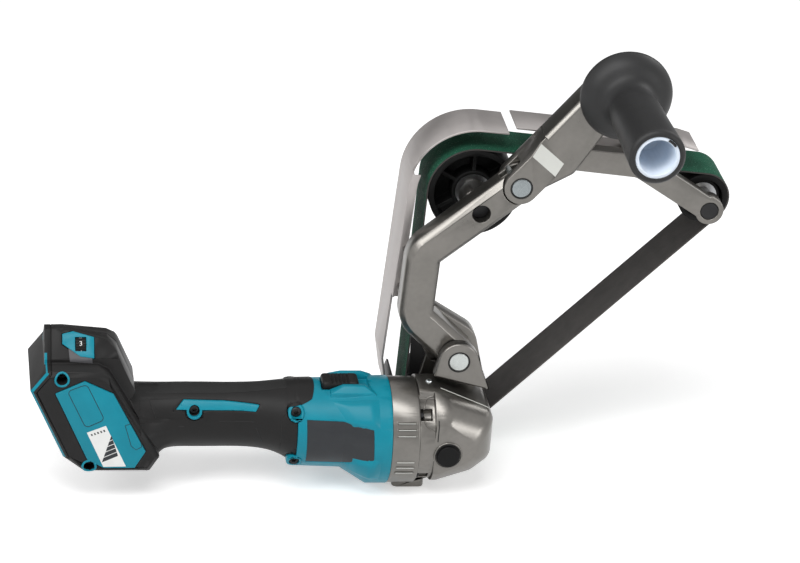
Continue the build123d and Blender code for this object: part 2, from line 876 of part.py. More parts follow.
arm_gap_near = arm_near - body_clearance
arm_gap_far = arm_far + body_clearance
web_top = pivot_z - arm_half_width - 2 * body_clearance
with BuildPart() as arm_bracket:
    near_ear = [(pivot, ear_radius)]
    extrude(ear_outline(side(arm_gap_far), near_ear), amount=arm_gap_far - ear_near)
    ear_face = arm_bracket.faces().sort_by(Axis.Y)[0]
    fillet(ear_face.edges(), radius=1.6)
    with BuildSketch(side(arm_gap_far)):
        with Locations((pivot_x, web_top)):
            Rectangle(6 * ear_radius, 6 * ear_radius, align=(Align.CENTER, Align.MIN))
    extrude(amount=arm_gap_far - arm_gap_near, mode=Mode.SUBTRACT)
    far_ear = [(pivot, far_ear_radius), (far_ear_tail, far_ear_tail_radius)]
    extrude(ear_outline(side(collar_far), far_ear), amount=collar_far - arm_gap_far)
    collar_plate = [(pivot, ear_radius), ((0, 0), neck_radius + bracket_collar_wall)]
    extrude(ear_outline(side(collar_far), collar_plate), amount=bracket_collar_thickness)
    with BuildSketch(side(collar_far)):
        Circle(neck_radius + seat_clearance)
    extrude(amount=bracket_collar_thickness, mode=Mode.SUBTRACT)
    with BuildSketch(side(arm_gap_far + ear_thickness)):
        with Locations(pivot):
            Circle(pivot_pin_radius + seat_clearance)
    extrude(amount=arm_gap_far + ear_thickness - ear_near, mode=Mode.SUBTRACT)
save(arm_bracket, "arm_bracket")

with BuildPart() as pivot_pin:
    pin_far = arm_gap_far + ear_thickness
    with BuildSketch(side(pin_far)):
        with Locations(pivot):
            Circle(pivot_pin_radius)
    extrude(amount=pin_far - ear_near)
    chamfer(pivot_pin.edges().sort_by(Axis.Y)[0], length=0.5)
save(pivot_pin, "pivot_pin")


# Guards: folded sheets that follow the belt
def along(run, share):
    """Point on a straight run, at a share of its length."""
    start, end = run
    return (start[0] + (end[0] - start[0]) * share, start[1] + (end[1] - start[1]) * share)


def at_height(run, z):
    """Point on a straight run at a height."""
    return along(run, (z - run[0][1]) / (run[1][1] - run[0][1]))


def at_place(run, x):
    """Point on a straight run at a place along the motor axis."""
    return along(run, (x - run[0][0]) / (run[1][0] - run[0][0]))


def guard_top(air):
    """Top run of a guard's middle line, air outside the belt."""
    out = belt_thickness + air + guard_sheet / 2
    return tangent(tip_idler_at, tip_belt_radius + out, upper_idler_at, upper_belt_radius + out)


arm_guard_radius = upper_belt_radius + belt_thickness + guard_air + guard_sheet / 2
arm_top_run = guard_top(guard_air)
arm_left_run = tangent(upper_idler_at, arm_guard_radius, guard_low_end, 0)
standoffs = []
for height in (standoff_low_z, standoff_high_z):
    place = at_height(arm_left_run, height)
    standoffs.append((place[0] + guard_sheet / 2 + guard_flange / 2, height))
with BuildPart() as arm_guard:
    with BuildSketch(side(guard_far)):
        with BuildLine():
            Line(at_place(arm_top_run, upper_idler_x + guard_top_run), arm_top_run[1])
            round_middle = arc_middle(upper_idler_at, arm_guard_radius, arm_top_run[1], arm_left_run[0])
            ThreePointArc(arm_top_run[1], round_middle, arm_left_run[0])
            Line(*arm_left_run)
            Line(guard_low_end, guard_tail_end)
            offset(amount=guard_sheet / 2)
        make_face()
    extrude(amount=guard_width)
    wing_rise = guard_wing_top - upper_idler_z
    wing_top = (upper_idler_x - math.sqrt(arm_guard_radius**2 - wing_rise**2), guard_wing_top)
    flange_low = at_height(arm_left_run, standoff_low_z - 2 * standoff_radius)
    flange_high = at_height(arm_left_run, standoff_high_z + 2 * standoff_radius)
    flange = [
        flange_low,
        (flange_low[0] + guard_sheet / 2 + guard_flange, flange_low[1]),
        (flange_high[0] + guard_sheet / 2 + guard_flange, flange_high[1]),
        flange_high,
    ]
    extrude(polygon(side(guard_wing_near + guard_sheet), flange), amount=guard_sheet)
    with BuildSketch(side(guard_near)):
        with BuildLine():
            wing_middle = arc_middle(upper_idler_at, arm_guard_radius, wing_top, arm_left_run[0])
            ThreePointArc(wing_top, wing_middle, arm_left_run[0])
            Line(arm_left_run[0], flange_low)
            offset(amount=guard_sheet / 2)
        make_face()
    extrude(amount=guard_near - guard_wing_near)
    lip_edge = [wing_top, wing_middle, arm_left_run[0], flange_high]
    lip_reach = guard_sheet / 2 + guard_lip
    lip = [*lip_edge, *[(x + lip_reach, z) for x, z in reversed(lip_edge)]]
    extrude(polygon(side(guard_wing_near + guard_sheet), lip), amount=guard_sheet)
save(arm_guard, "arm_guard")

with BuildPart() as arm_guard_screws:
    with BuildSketch(side(guard_wing_near + guard_sheet + guard_screw_height)):
        with Locations(*standoffs):
            Circle(guard_screw_head)
    extrude(amount=guard_screw_height)
save(arm_guard_screws, "arm_guard_screws")

top_run = guard_top(top_guard_air)
top_standoffs = []
for place in (top_standoff_back, top_standoff_front):
    height = at_place(top_run, place)[1] - guard_sheet / 2 - top_guard_flange / 2
    top_standoffs.append((place, height))
with BuildPart() as top_guard:
    bend = at_place(top_run, top_guard_bend)
    tail = (top_guard_end_x, bend[1] - top_guard_end_drop)
    with BuildSketch(side(guard_near + top_guard_width)):
        with BuildLine():
            FilletPolyline(at_place(top_run, top_guard_start), bend, tail, radius=top_guard_round)
            offset(amount=guard_sheet / 2)
        make_face()
    extrude(amount=top_guard_width)
    tab_back = at_place(top_run, top_standoff_back - 2 * standoff_radius)
    tab_front = at_place(top_run, top_standoff_front + 2 * standoff_radius)
    drop = guard_sheet / 2 + top_guard_flange
    flange = [tab_back, (tab_back[0], tab_back[1] - drop), (tab_front[0], tab_front[1] - drop), tab_front]
    extrude(polygon(side(guard_near + guard_sheet), flange), amount=guard_sheet)
save(top_guard, "top_guard")

with BuildPart() as top_guard_screws:
    with BuildSketch(side(guard_near + guard_sheet + guard_screw_height)):
        with Locations(*top_standoffs):
            Circle(guard_screw_head)
    extrude(amount=guard_screw_height)
save(top_guard_screws, "top_guard_screws")

# Guard of the drive pulley: a rim on a side plate that reaches up behind the bracket
with BuildPart() as drive_guard:
    with BuildSketch(side(guard_far)):
        with BuildLine():
            outer_rim = CenterArc((0, 0), spindle_height, drive_guard_start, drive_guard_sweep)
            inner_rim = CenterArc((0, 0), spindle_height - guard_sheet, drive_guard_start, drive_guard_sweep)
            Line(outer_rim @ 0, inner_rim @ 0)
            Line(outer_rim @ 1, inner_rim @ 1)
        make_face()
    extrude(amount=guard_far - collar_far)
    with BuildSketch(side(neck_far)):
        with BuildLine():
            plate_radius = spindle_height - guard_sheet / 2
            plate_rim = CenterArc((0, 0), plate_radius, drive_guard_start, drive_guard_sweep)
            Polyline(plate_rim @ 1, *drive_plate_top, plate_rim @ 0)
        make_face()
        Circle(neck_radius + seat_clearance, mode=Mode.SUBTRACT)
    extrude(amount=guard_sheet)
save(drive_guard, "drive_guard")

# Lower arm: a bent strap with bevelled near edges, axle boss, guard standoffs and the elbow's tongue
upper_boss_far = pulley_near + bearing_inset - body_clearance
elbow_way = unit(elbow, knee_high)
pocket_near = tongue_near - 1.5
with BuildPart() as lower_arm:
    arm_line = [pivot, knee_low, knee_high, elbow]
    extrude(strap(side(arm_far), arm_line, arm_half_width, arm_knee_round), amount=arm_depth)
    chamfer(lower_arm.faces().sort_by(Axis.Y)[0].edges(), length=arm_bevel)
    with BuildSketch(side(tongue_near)):
        with Locations(elbow):
            Circle(eye_radius + 2 * body_clearance)
    extrude(amount=arm_depth, mode=Mode.SUBTRACT)
    with BuildSketch(side(upper_boss_far)):
        with Locations(upper_idler_at):
            Circle(axle_radius + 2.5)
    extrude(amount=upper_boss_far - arm_far)
    with BuildSketch(side(pulley_near - 2)):
        with Locations(upper_idler_at):
            Circle(arm_half_width - 1)
    extrude(amount=pulley_near - 2 - arm_far)
    with BuildSketch(side(guard_wing_near)):
        with Locations(*standoffs):
            Circle(standoff_radius)
    extrude(amount=guard_wing_near - arm_far)
    with BuildSketch(side(upper_boss_far)):
        with Locations(upper_idler_at):
            Circle(axle_radius + seat_clearance)
    extrude(amount=upper_boss_far - arm_near, mode=Mode.SUBTRACT)
    with BuildSketch(side(arm_near + arm_bore_depth)):
        with Locations(upper_idler_at):
            Circle(axle_head_radius + body_clearance)
    extrude(amount=arm_bore_depth, mode=Mode.SUBTRACT)
    with BuildSketch(side(arm_far)):
        with Locations(pivot):
            Circle(pivot_pin_radius + running_clearance)
        with Locations(elbow):
            Circle(elbow_pin_radius + seat_clearance)
    extrude(amount=arm_depth, mode=Mode.SUBTRACT)
    pocket_at = (elbow_x + elbow_way[0] * pocket_from_elbow, elbow_z + elbow_way[1] * pocket_from_elbow)
    up_way = (elbow_way[1], -elbow_way[0])
    half = pocket_length / 2
    inner = arm_half_width - pocket_depth
    outer = arm_half_width + 1
    pocket = []
    for along_arm, up in ((-half, inner), (half, inner), (half, outer), (-half, outer)):
        pocket.append(
            (
                pocket_at[0] + along_arm * elbow_way[0] + up * up_way[0],
                pocket_at[1] + along_arm * elbow_way[1] + up * up_way[1],
            )
        )
    extrude(polygon(side(pocket_near + pocket_width), pocket), amount=pocket_width, mode=Mode.SUBTRACT)
    stop_up = inner + stop_pin_radius + 0.1
    stop_at = (pocket_at[0] + stop_up * up_way[0], pocket_at[1] + stop_up * up_way[1])
    stop_far = pocket_near + pocket_width + stop_pin_seat
    with BuildSketch(side(stop_far)):
        with Locations(stop_at):
            Circle(stop_pin_radius + seat_clearance)
    extrude(amount=stop_pin_seat, mode=Mode.SUBTRACT)
save(lower_arm, "lower_arm")

with BuildPart() as elbow_pin:
    with BuildSketch(side(upper_arm_far)):
        with Locations(elbow):
            Circle(elbow_pin_radius)
    extrude(amount=upper_arm_far - eye_near)
    chamfer(elbow_pin.edges().sort_by(Axis.Y)[0], length=0.5)
save(elbow_pin, "elbow_pin")

with BuildPart() as elbow_stop_pin:
    with BuildSketch(side(stop_far)):
        with Locations(stop_at):
            Circle(stop_pin_radius)
    extrude(amount=stop_far - tongue_near - 2 * body_clearance)
save(elbow_stop_pin, "elbow_stop_pin")


# Idler axles: a shouldered bolt with its head sunk in the arm, and a nut behind the far bearing
def axle_section(head_far):
    """Half section of an idler's bolt whose head ends at depth head_far."""
    far_bearing_end = pulley_far - bearing_inset
    return [
        (0, head_far - axle_head_height),
        (axle_head_radius, head_far - axle_head_height),
        (axle_head_radius, head_far),
        (axle_radius, head_far),
        (axle_radius, far_bearing_end + body_clearance + axle_nut_height),
        (0, far_bearing_end + body_clearance + axle_nut_height),
    ]


def axle_nut(x, z):
    """Nut of an idler's bolt."""
    near_face = pulley_far - bearing_inset + body_clearance
    with BuildPart() as nut:
        with BuildSketch(side(near_face + axle_nut_height)):
            with Locations((x, z)):
                RegularPolygon(axle_radius * 1.75, 6)
                Circle(axle_radius + seat_clearance, mode=Mode.SUBTRACT)
        extrude(amount=axle_nut_height)
    return nut


with BuildPart() as upper_idler_axle:
    revolve(
        turned_y(upper_idler_x, upper_idler_z, axle_section(arm_near + arm_bore_depth)),
        axis=axis_along_y(upper_idler_x, upper_idler_z),
    )
save(upper_idler_axle, "upper_idler_axle")
save(axle_nut(upper_idler_x, upper_idler_z), "upper_idler_nut")

tip_bore_depth = axle_head_height + 0.5
with BuildPart() as tip_idler_axle:
    revolve(
        turned_y(tip_idler_x, tip_idler_z, axle_section(bar_near + tip_bore_depth)),
        axis=axis_along_y(tip_idler_x, tip_idler_z),
    )
save(tip_idler_axle, "tip_idler_axle")
save(axle_nut(tip_idler_x, tip_idler_z), "tip_idler_nut")

# Upper arm: a plate from the elbow to the side handle, a raised eye over the elbow that ramps down to it,
# and a bar out to the tip idler
bar_run = ((bar_start_x, bar_start_z), (bar_bend_x, bar_bend_z))
plate_way = unit(elbow, handle_at)
plate_angle = math.degrees(math.atan2(plate_way[1], plate_way[0]))
along_plate = Plane(
    origin=(pad_to_spindle + elbow_x, 0, spindle_height + elbow_z),
    x_dir=(plate_way[0], 0, plate_way[1]),
    z_dir=(-plate_way[1], 0, plate_way[0]),
)
with BuildPart() as upper_arm:
    with BuildSketch(side(upper_arm_far)):
        with BuildLine():
            CenterArc(elbow, eye_radius - plate_inset, 0, 360)
            CenterArc(plate_knee, plate_knee_radius, 0, 360)
            CenterArc(handle_at, handle_boss_radius, 0, 360)
        make_hull()
    extrude(amount=upper_arm_far - upper_plate_near)
    chamfer(upper_arm.faces().sort_by(Axis.Y)[0].edges(), length=bar_bevel)
    with BuildSketch(side(upper_arm_far)):
        with Locations(elbow):
            Circle(eye_radius)
        middle = (elbow_x + plate_way[0] * eye_reach / 2, elbow_z + plate_way[1] * eye_reach / 2)
        with Locations(Location((middle[0], middle[1], 0), (0, 0, plate_angle))):
            Rectangle(eye_reach, 2 * eye_radius)
    extrude(amount=upper_arm_far - eye_near)
    ramp = [
        (eye_ramp_start, eye_near),
        (eye_ramp_end, upper_plate_near),
        (eye_ramp_end + eye_reach, upper_plate_near),
        (eye_ramp_end + eye_reach, 0),
        (eye_ramp_start, 0),
    ]
    extrude(polygon(along_plate, ramp), amount=2 * eye_radius, both=True, mode=Mode.SUBTRACT)
    extrude(
        strap(side(upper_arm_far), [*bar_run, tip_idler_at], bar_half_width, 2 * bar_half_width),
        amount=upper_arm_far - bar_near,
    )
    with BuildSketch(side(upper_arm_far)):
        with Locations(tip_idler_at):
            Circle(bar_end_radius)
    extrude(amount=upper_arm_far - bar_near)
    with BuildSketch(side(upper_boss_far)):
        with Locations(tip_idler_at):
            Circle(axle_radius + 2.5)
    extrude(amount=upper_boss_far - upper_arm_far)
    for place in top_standoffs:
        with BuildSketch(side(guard_near)):
            with BuildLine():
                CenterArc(place, standoff_radius, 0, 360)
                CenterArc(at_place(bar_run, place[0]), standoff_radius, 0, 360)
            make_hull()
        extrude(amount=guard_near - upper_arm_far)
    with BuildSketch(side(arm_far + body_clearance)):
        with Locations(elbow):
            Circle(eye_radius + 2 * body_clearance)
    extrude(amount=arm_far - tongue_near + 2 * body_clearance, mode=Mode.SUBTRACT)
    slot = [
        (eye_slot_start, tongue_near - body_clearance),
        (eye_slot_end, tongue_near - body_clearance),
        (eye_slot_end, arm_far + body_clearance),
        (eye_slot_start, arm_far + body_clearance),
    ]
    slot_floor = along_plate.offset(eye_slot_floor)
    extrude(polygon(slot_floor, slot), amount=2 * eye_radius, mode=Mode.SUBTRACT)
    with BuildSketch(side(upper_arm_far)):
        with Locations(elbow):
            Circle(elbow_pin_radius + running_clearance)
    extrude(amount=upper_arm_far - eye_near, mode=Mode.SUBTRACT)
    with BuildSketch(side(upper_boss_far)):
        with Locations(tip_idler_at):
            Circle(axle_radius + seat_clearance)
    extrude(amount=upper_boss_far - bar_near, mode=Mode.SUBTRACT)
    with BuildSketch(side(bar_near + tip_bore_depth)):
        with Locations(tip_idler_at):
            Circle(axle_head_radius + body_clearance)
    extrude(amount=tip_bore_depth, mode=Mode.SUBTRACT)
    with BuildSketch(side(upper_plate_near + handle_stud_depth)):
        with Locations(handle_at):
            Circle(handle_stud_radius + seat_clearance)
    extrude(amount=handle_stud_depth, mode=Mode.SUBTRACT)
save(upper_arm, "upper_arm")

# Side handle: a bell flange, a waisted grip with an open end, its pale liner and its stud
handle_axis = axis_along_y(handle_x, handle_z)
bore_floor = handle_end + handle_bore_depth
stud_near = upper_plate_near - handle_stud_reach
with BuildPart() as side_handle:
    with BuildSketch(Plane(origin=(pad_to_spindle + handle_x, 0, spindle_height + handle_z))):
        with BuildLine():
            Polyline(
                (handle_stud_radius + seat_clearance, upper_plate_near),
                (handle_collar_radius, upper_plate_near),
                (handle_collar_radius, handle_flange_near + 9),
                (handle_flange_radius, handle_flange_near + 3),
                (handle_flange_radius, handle_flange_near),
            )
            Spline(
                (handle_flange_radius, handle_flange_near),
                (handle_flange_radius - 2, handle_flange_near - 4.5),
                (handle_shoulder_radius + 6, handle_shoulder_near + 4),
                (handle_shoulder_radius, handle_shoulder_near),
                (handle_neck_radius, handle_shoulder_near - 6),
                (handle_neck_radius + 0.3, handle_shoulder_near - 16),
                (handle_grip_radius, handle_end + 45),
                (handle_end_radius, handle_end + 5),
            )
            Polyline(
                (handle_end_radius, handle_end + 5),
                (handle_end_radius, handle_end + 2),
                (handle_end_radius - 2, handle_end),
                (handle_bore_radius, handle_end),
                (handle_bore_radius, bore_floor),
                (0, bore_floor),
                (0, stud_near),
                (handle_stud_radius + seat_clearance, stud_near),
                (handle_stud_radius + seat_clearance, upper_plate_near),
            )
        make_face()
    revolve(axis=handle_axis)
save(side_handle, "side_handle")

with BuildPart() as handle_liner:
    liner_outer = handle_bore_radius - seat_clearance
    liner_section = [
        (0, bore_floor),
        (liner_outer, bore_floor),
        (liner_outer, handle_end + 0.6),
        (liner_outer - handle_liner_wall, handle_end + 0.6),
        (liner_outer - handle_liner_wall, bore_floor - handle_liner_wall),
        (0, bore_floor - handle_liner_wall),
    ]
    revolve(turned_y(handle_x, handle_z, liner_section), axis=handle_axis)
save(handle_liner, "handle_liner")

with BuildPart() as handle_stud:
    stud_section = [
        (0, stud_near),
        (handle_stud_radius, stud_near),
        (handle_stud_radius, upper_plate_near + handle_stud_depth),
        (0, upper_plate_near + handle_stud_depth),
    ]
    revolve(turned_y(handle_x, handle_z, stud_section), axis=handle_axis)
save(handle_stud, "handle_stud")

# Motor housing: a flared tube with a switch collar on top, screw lugs over the handle and a label recess
housing_stations = (motor_back, motor_waist, motor_ring, motor_front)
collar_far_end = collar_profile[-1][0]
stator_back = stator_front - stator_length
beyond = rear_half_width


def collar_form():
    """Solid of the switch's collar, bevelled along both sides."""
    back_end = collar_profile[0][0]
    with BuildPart() as form:
        outline = [(back_end, collar_root), *collar_profile, (collar_far_end, collar_root)]
        extrude(polygon(side(collar_half_width), outline), amount=2 * collar_half_width)
        crest = max(height for _, height in collar_profile)
        section = [
            (-collar_half_width, collar_root),
            (-collar_half_width, collar_edge),
            (-collar_crest_half_width, crest),
            (collar_crest_half_width, crest),
            (collar_half_width, collar_edge),
            (collar_half_width, collar_root),
        ]
        extrude(polygon(cross(back_end), section), amount=collar_far_end - back_end, mode=Mode.INTERSECT)
    return form.part


def lug_form(grow):
    """Solid of the screw lugs on both sides, grown by grow."""
    with BuildPart() as form:
        for face in (grow - lug_root, beyond):
            with BuildSketch(side(face)):
                with Locations(*lugs_at):
                    Circle(lug_radius + grow)
            extrude(amount=beyond - lug_root + grow)
    return form.part


def label_form(grow, top, floor):
    """Solid on the near side within the label's outline, between two depths under the housing's skin."""
    with BuildPart() as form:
        extrude(drawn_in(side(0), nameplate_outline, -grow), amount=2 * beyond)
        add(loft_form(housing_stations, top, True), mode=Mode.INTERSECT)
        add(loft_form(housing_stations, floor, True), mode=Mode.SUBTRACT)
    return form.part


with BuildPart() as lugs:
    add(lug_form(0))
    with BuildSketch(cross(motor_back[0] - 2 * lug_radius)):
        with Locations((0, motor_back[1])):
            Circle(motor_back[3] + lug_proud)
    extrude(amount=4 * lug_radius, mode=Mode.INTERSECT)

with BuildPart() as motor_housing:
    add(loft_form(housing_stations, 0, True))
    add(lugs.part)
    add(collar_form())
    with BuildSketch(deck(switch_slot_floor)):
        with Locations((switch_back - body_clearance, 0)):
            Rectangle(
                switch_length + switch_travel + 2 * body_clearance,
                2 * (switch_half_width + body_clearance),
                align=(Align.MIN, Align.CENTER),
            )
    extrude(amount=switch_top - switch_slot_floor, mode=Mode.SUBTRACT)
    inner_wall = motor_back[0] + motor_back_wall
    rear_bearing_back = inner_wall - motor_bearing_width
    fan_room_back = fan_front - fan_thickness - fan_room / 2
    bores = [
        bar_points(0, motor_bearing_radius + seat_clearance, rear_bearing_back, inner_wall),
        bar_points(0, (coil_outer_radius + stator_radius) / 2, inner_wall, stator_back),
        bar_points(0, stator_radius + seat_clearance, stator_back, fan_room_back),
        bar_points(0, fan_radius + fan_room, fan_room_back, flange_back),
    ]
    for bore in bores:
        revolve(turned_x(0, bore), axis=axis_along_x(0), mode=Mode.SUBTRACT)
    for face in (-motor_screw_seat, beyond):
        with BuildSketch(side(face)):
            with Locations(*lugs_at):
                Circle(motor_screw_radius + seat_clearance)
        extrude(amount=beyond - motor_screw_seat, mode=Mode.SUBTRACT)
    add(label_form(seat_clearance, -nameplate_recess, nameplate_recess), mode=Mode.SUBTRACT)
save(motor_housing, "motor_housing")

with BuildPart() as nameplate:
    add(label_form(0, nameplate_recess - nameplate_thickness, nameplate_recess - seat_clearance))
save(nameplate, "nameplate")

# Motor housing screws, two on each side
with BuildPart() as motor_screws:
    for hand in (-1, 1):
        base = hand * motor_screw_seat
        tip = base + hand * motor_screw_height
        with BuildSketch(side(base)):
            with Locations(*lugs_at):
                Circle(motor_screw_radius)
        extrude(amount=base - tip)
        with BuildSketch(side(tip)):
            with Locations(*lugs_at):
                RegularPolygon(motor_screw_radius / 2, 6)
        extrude(amount=(tip - base) / 2, mode=Mode.SUBTRACT)
save(motor_screws, "motor_screws")

# Slide switch: a grooved knob that slides forward in the collar's slot
with BuildPart() as slide_switch:
    knob_foot = switch_slot_floor + running_clearance
    with BuildSketch(deck(knob_foot)):
        with Locations((switch_back + switch_length / 2, 0)):
            RectangleRounded(switch_length, 2 * switch_half_width, switch_round)
    extrude(amount=switch_top - knob_foot)
    fillet(slide_switch.faces().sort_by(Axis.Z)[-1].edges(), radius=switch_round * 0.8)
    with BuildSketch(deck(switch_top - switch_groove_depth)):
        with Locations((switch_back + switch_length / 2, 0)):
            with GridLocations(2 * switch_groove_width, 0, switch_groove_count, 1):
                Rectangle(switch_groove_width, 2 * switch_half_width)
    extrude(amount=switch_groove_depth, mode=Mode.SUBTRACT)
save(slide_switch, "slide_switch")

# Motor: a laminated stator with its coils, and a rotor on a shaft that carries the fan and the pinion
with BuildPart() as stator_core:
    stator_ring = bar_points(stator_bore, stator_radius, stator_back, stator_front)
    revolve(turned_x(0, stator_ring), axis=axis_along_x(0))
save(stator_core, "stator_core")

with BuildPart() as stator_coils:
    for start in (stator_back - coil_length, stator_front):
        coil_ring = bar_points(coil_inner_radius, coil_outer_radius, start, start + coil_length)
        revolve(turned_x(0, coil_ring), axis=axis_along_x(0))
save(stator_coils, "stator_coils")

with BuildPart() as rotor_core:
    rotor_ring = bar_points(rotor_shaft_radius + seat_clearance, rotor_radius, stator_back, stator_front)
    revolve(turned_x(0, rotor_ring), axis=axis_along_x(0))
save(rotor_core, "rotor_core")

pinion_toe = -crown_toe
with BuildPart() as rotor_shaft:
    shaft_section = [
        (rear_bearing_back + body_clearance, 0),
        (rear_bearing_back + body_clearance, rotor_shaft_radius),
        (front_bearing_front, rotor_shaft_radius),
        (front_bearing_front, pinion_shaft_radius),
        (pinion_toe, pinion_shaft_radius),
        (pinion_toe, 0),
    ]
    revolve(turned_x(0, shaft_section), axis=axis_along_x(0))
save(rotor_shaft, "rotor_shaft")

with BuildPart() as cooling_fan:
    fan_back = fan_front - fan_thickness
    shaft_fit = rotor_shaft_radius + seat_clearance
    fan_hub = bar_points(shaft_fit, fan_hub_radius, fan_back, fan_front)
    revolve(turned_x(0, fan_hub), axis=axis_along_x(0))
    fan_plate = bar_points(shaft_fit, fan_radius, fan_front - fan_disc, fan_front)
    revolve(turned_x(0, fan_plate), axis=axis_along_x(0))
    with BuildSketch(cross(fan_back)):
        with PolarLocations((fan_hub_radius + fan_radius) / 2, fan_blades):
            Rectangle(fan_radius - fan_hub_radius - fan_disc, fan_disc)
    extrude(amount=fan_thickness - fan_disc)
save(cooling_fan, "cooling_fan")

# Bevel pinion: a cone that rolls on the crown gear, grooved between its teeth
with BuildPart() as bevel_pinion:
    toe_radius = crown_toe * crown_slope
    pinion_section = [
        (front_bearing_front + body_clearance, pinion_shaft_radius + seat_clearance),
        (front_bearing_front + body_clearance, pinion_pitch_radius - tooth_depth),
        (pinion_heel, pinion_pitch_radius - tooth_depth),
        (pinion_heel, pinion_pitch_radius),
        (pinion_toe, toe_radius),
        (pinion_toe, pinion_shaft_radius + seat_clearance),
    ]
    revolve(turned_x(0, pinion_section), axis=axis_along_x(0))
    for tooth in range(pinion_teeth):
        turn = math.radians(360 / pinion_teeth * tooth)
        plane = Plane(
            origin=(pad_to_spindle, 0, spindle_height),
            x_dir=(1, 0, 0),
            z_dir=(0, -math.sin(turn), math.cos(turn)),
        )
        groove = [
            (pinion_heel - tooth_depth, pinion_pitch_radius - tooth_depth),
            (pinion_toe + tooth_depth, toe_radius - tooth_depth * crown_slope),
            (pinion_toe + tooth_depth, pinion_pitch_radius + tooth_depth),
            (pinion_heel - tooth_depth, pinion_pitch_radius + tooth_depth),
        ]
        extrude(polygon(plane, groove), amount=tooth_depth / 2, both=True, mode=Mode.SUBTRACT)
save(bevel_pinion, "bevel_pinion")

for bearing_name, bearing_back in (
    ("front_motor_bearing", front_bearing_front - motor_bearing_width),
    ("rear_motor_bearing", rear_bearing_back),
):
    with BuildPart() as motor_bearing:
        bearing_ring = bar_points(
            rotor_shaft_radius + running_clearance,
            motor_bearing_radius,
            bearing_back,
            bearing_back + motor_bearing_width,
        )
        revolve(turned_x(0, bearing_ring), axis=axis_along_x(0))
    save(motor_bearing, bearing_name)

# Shaft lock: a button on the nose with a stem that reaches in beside the crown gear
with BuildPart() as lock_button:
    cap_far = lock_seat - lock_travel - body_clearance
    cap_near = dome_near - lock_proud
    with BuildSketch(side(cap_far)):
        with Locations((lock_x, lock_z)):
            Circle(lock_radius)
    extrude(amount=cap_far - cap_near)
    fillet(lock_button.edges().sort_by(Axis.Y)[0], radius=lock_edge)
    with BuildSketch(side(cap_far + lock_stem_length)):
        with Locations(lock_stem_at):
            Circle(lock_stem_radius)
    extrude(amount=lock_stem_length)
save(lock_button, "lock_button")

# Handle shell: a grip that flares into the rear housing, and a hump on top of it
rear_outline = [
    rear_tip,
    rear_shoulder,
    rear_deck_end,
    rear_brow,
    rear_front,
    rear_toe,
    rear_floor_end,
    rear_heel,
]
hump_outline = [
    hump_back_top,
    hump_crest,
    hump_front_top,
    hump_nose,
    hump_foot,
    (hump_root_x, hump_root_z),
    (hump_back_top[0], rear_tip[1]),
]
front_way = unit(rear_brow, rear_front)
flare_middle = at_height((rear_brow, rear_front), flare_z)
flare_plane = Plane(
    origin=(
        pad_to_spindle + flare_middle[0] + front_way[1] * flare_sink,
        0,
        spindle_height + flare_middle[1] - front_way[0] * flare_sink,
    ),
    x_dir=(0, 1, 0),
    z_dir=(-front_way[1], 0, front_way[0]),
)


def grip_form(inset):
    """Solid of the grip, drawn in by inset."""
    stations = (grip_front, grip_shoulder, grip_neck, grip_middle, grip_back)
    with BuildPart() as form:
        for x, z, half_width, half_height in stations:
            with BuildSketch(cross(x)):
                with Locations((0, z)):
                    Ellipse(half_width - inset, half_height - inset)
        with BuildSketch(flare_plane):
            Ellipse(flare_half_width - inset, flare_half_height - inset)
        loft()
    return form.part


def hump_form(inset):
    """Solid of the hump with its bevelled top edges, drawn in by inset."""
    half_width = hump_half_width - inset
    with BuildPart() as form:
        extrude(drawn_in(side(half_width), hump_outline, inset), amount=2 * half_width)
        crest_z = hump_bevel_low + hump_half_width - inset * math.sqrt(2)
        clear_z = crest_z + hump_half_width
        for hand in (-1, 1):
            wedge = [
                (0, crest_z),
                (hand * 2 * hump_half_width, crest_z - 2 * hump_half_width),
                (hand * 2 * hump_half_width, clear_z),
                (0, clear_z),
            ]
            extrude(polygon(cross(rear_tip[0]), wedge), amount=hump_foot[0] - rear_tip[0], mode=Mode.SUBTRACT)
    return form.part


def handle_form(inset):
    """Solid of the whole handle, drawn in by inset."""
    half_width = rear_half_width - inset
    with BuildPart() as form:
        extrude(drawn_in(side(half_width), rear_outline, inset), amount=2 * half_width)
        chamfer(form.faces().filter_by(Axis.Y).edges(), length=rear_edge)
        add(hump_form(inset))
        add(grip_form(inset))
    return form.part


facet_way = unit(rear_tip, rear_heel)
facet_length = math.dist(rear_tip, rear_heel)


def facet(depth):
    """Plane at a depth under the slanted rear face, x down the slope from its tip, facing out."""
    return Plane(
        origin=(
            pad_to_spindle + rear_tip[0] - facet_way[1] * depth,
            0,
            spindle_height + rear_tip[1] + facet_way[0] * depth,
        ),
        x_dir=(facet_way[0], 0, facet_way[1]),
        z_dir=(facet_way[1], 0, -facet_way[0]),
    )


def facet_slab(depth, start, end, half_width):
    """Rectangle on the slope, from start to end down it."""
    with BuildSketch(facet(depth)) as slab:
        with Locations(((start + end) / 2, 0)):
            Rectangle(end - start, 2 * half_width)
    return slab.sketch


handle_outer = handle_form(0)
handle_inner = handle_form(shell_wall)
hump_joint_z = at_place((rear_tip, rear_shoulder), hump_back_top[0])[1]
base_region = [
    (rear_tip[0] - beyond, hump_crest[1] + beyond),
    (hump_back_top[0] + base_rim, hump_crest[1] + beyond),
    (hump_back_top[0] + base_rim, hump_joint_z),
    (rear_tip[0] + base_rim, rear_tip[1]),
    (rear_heel[0] + base_rim, rear_heel[1]),
    (rear_tip[0] - beyond, rear_heel[1]),
]
slot_run_out = facet_length + 2 * rear_half_width
tray_start = slot_stop - tray_end_wall


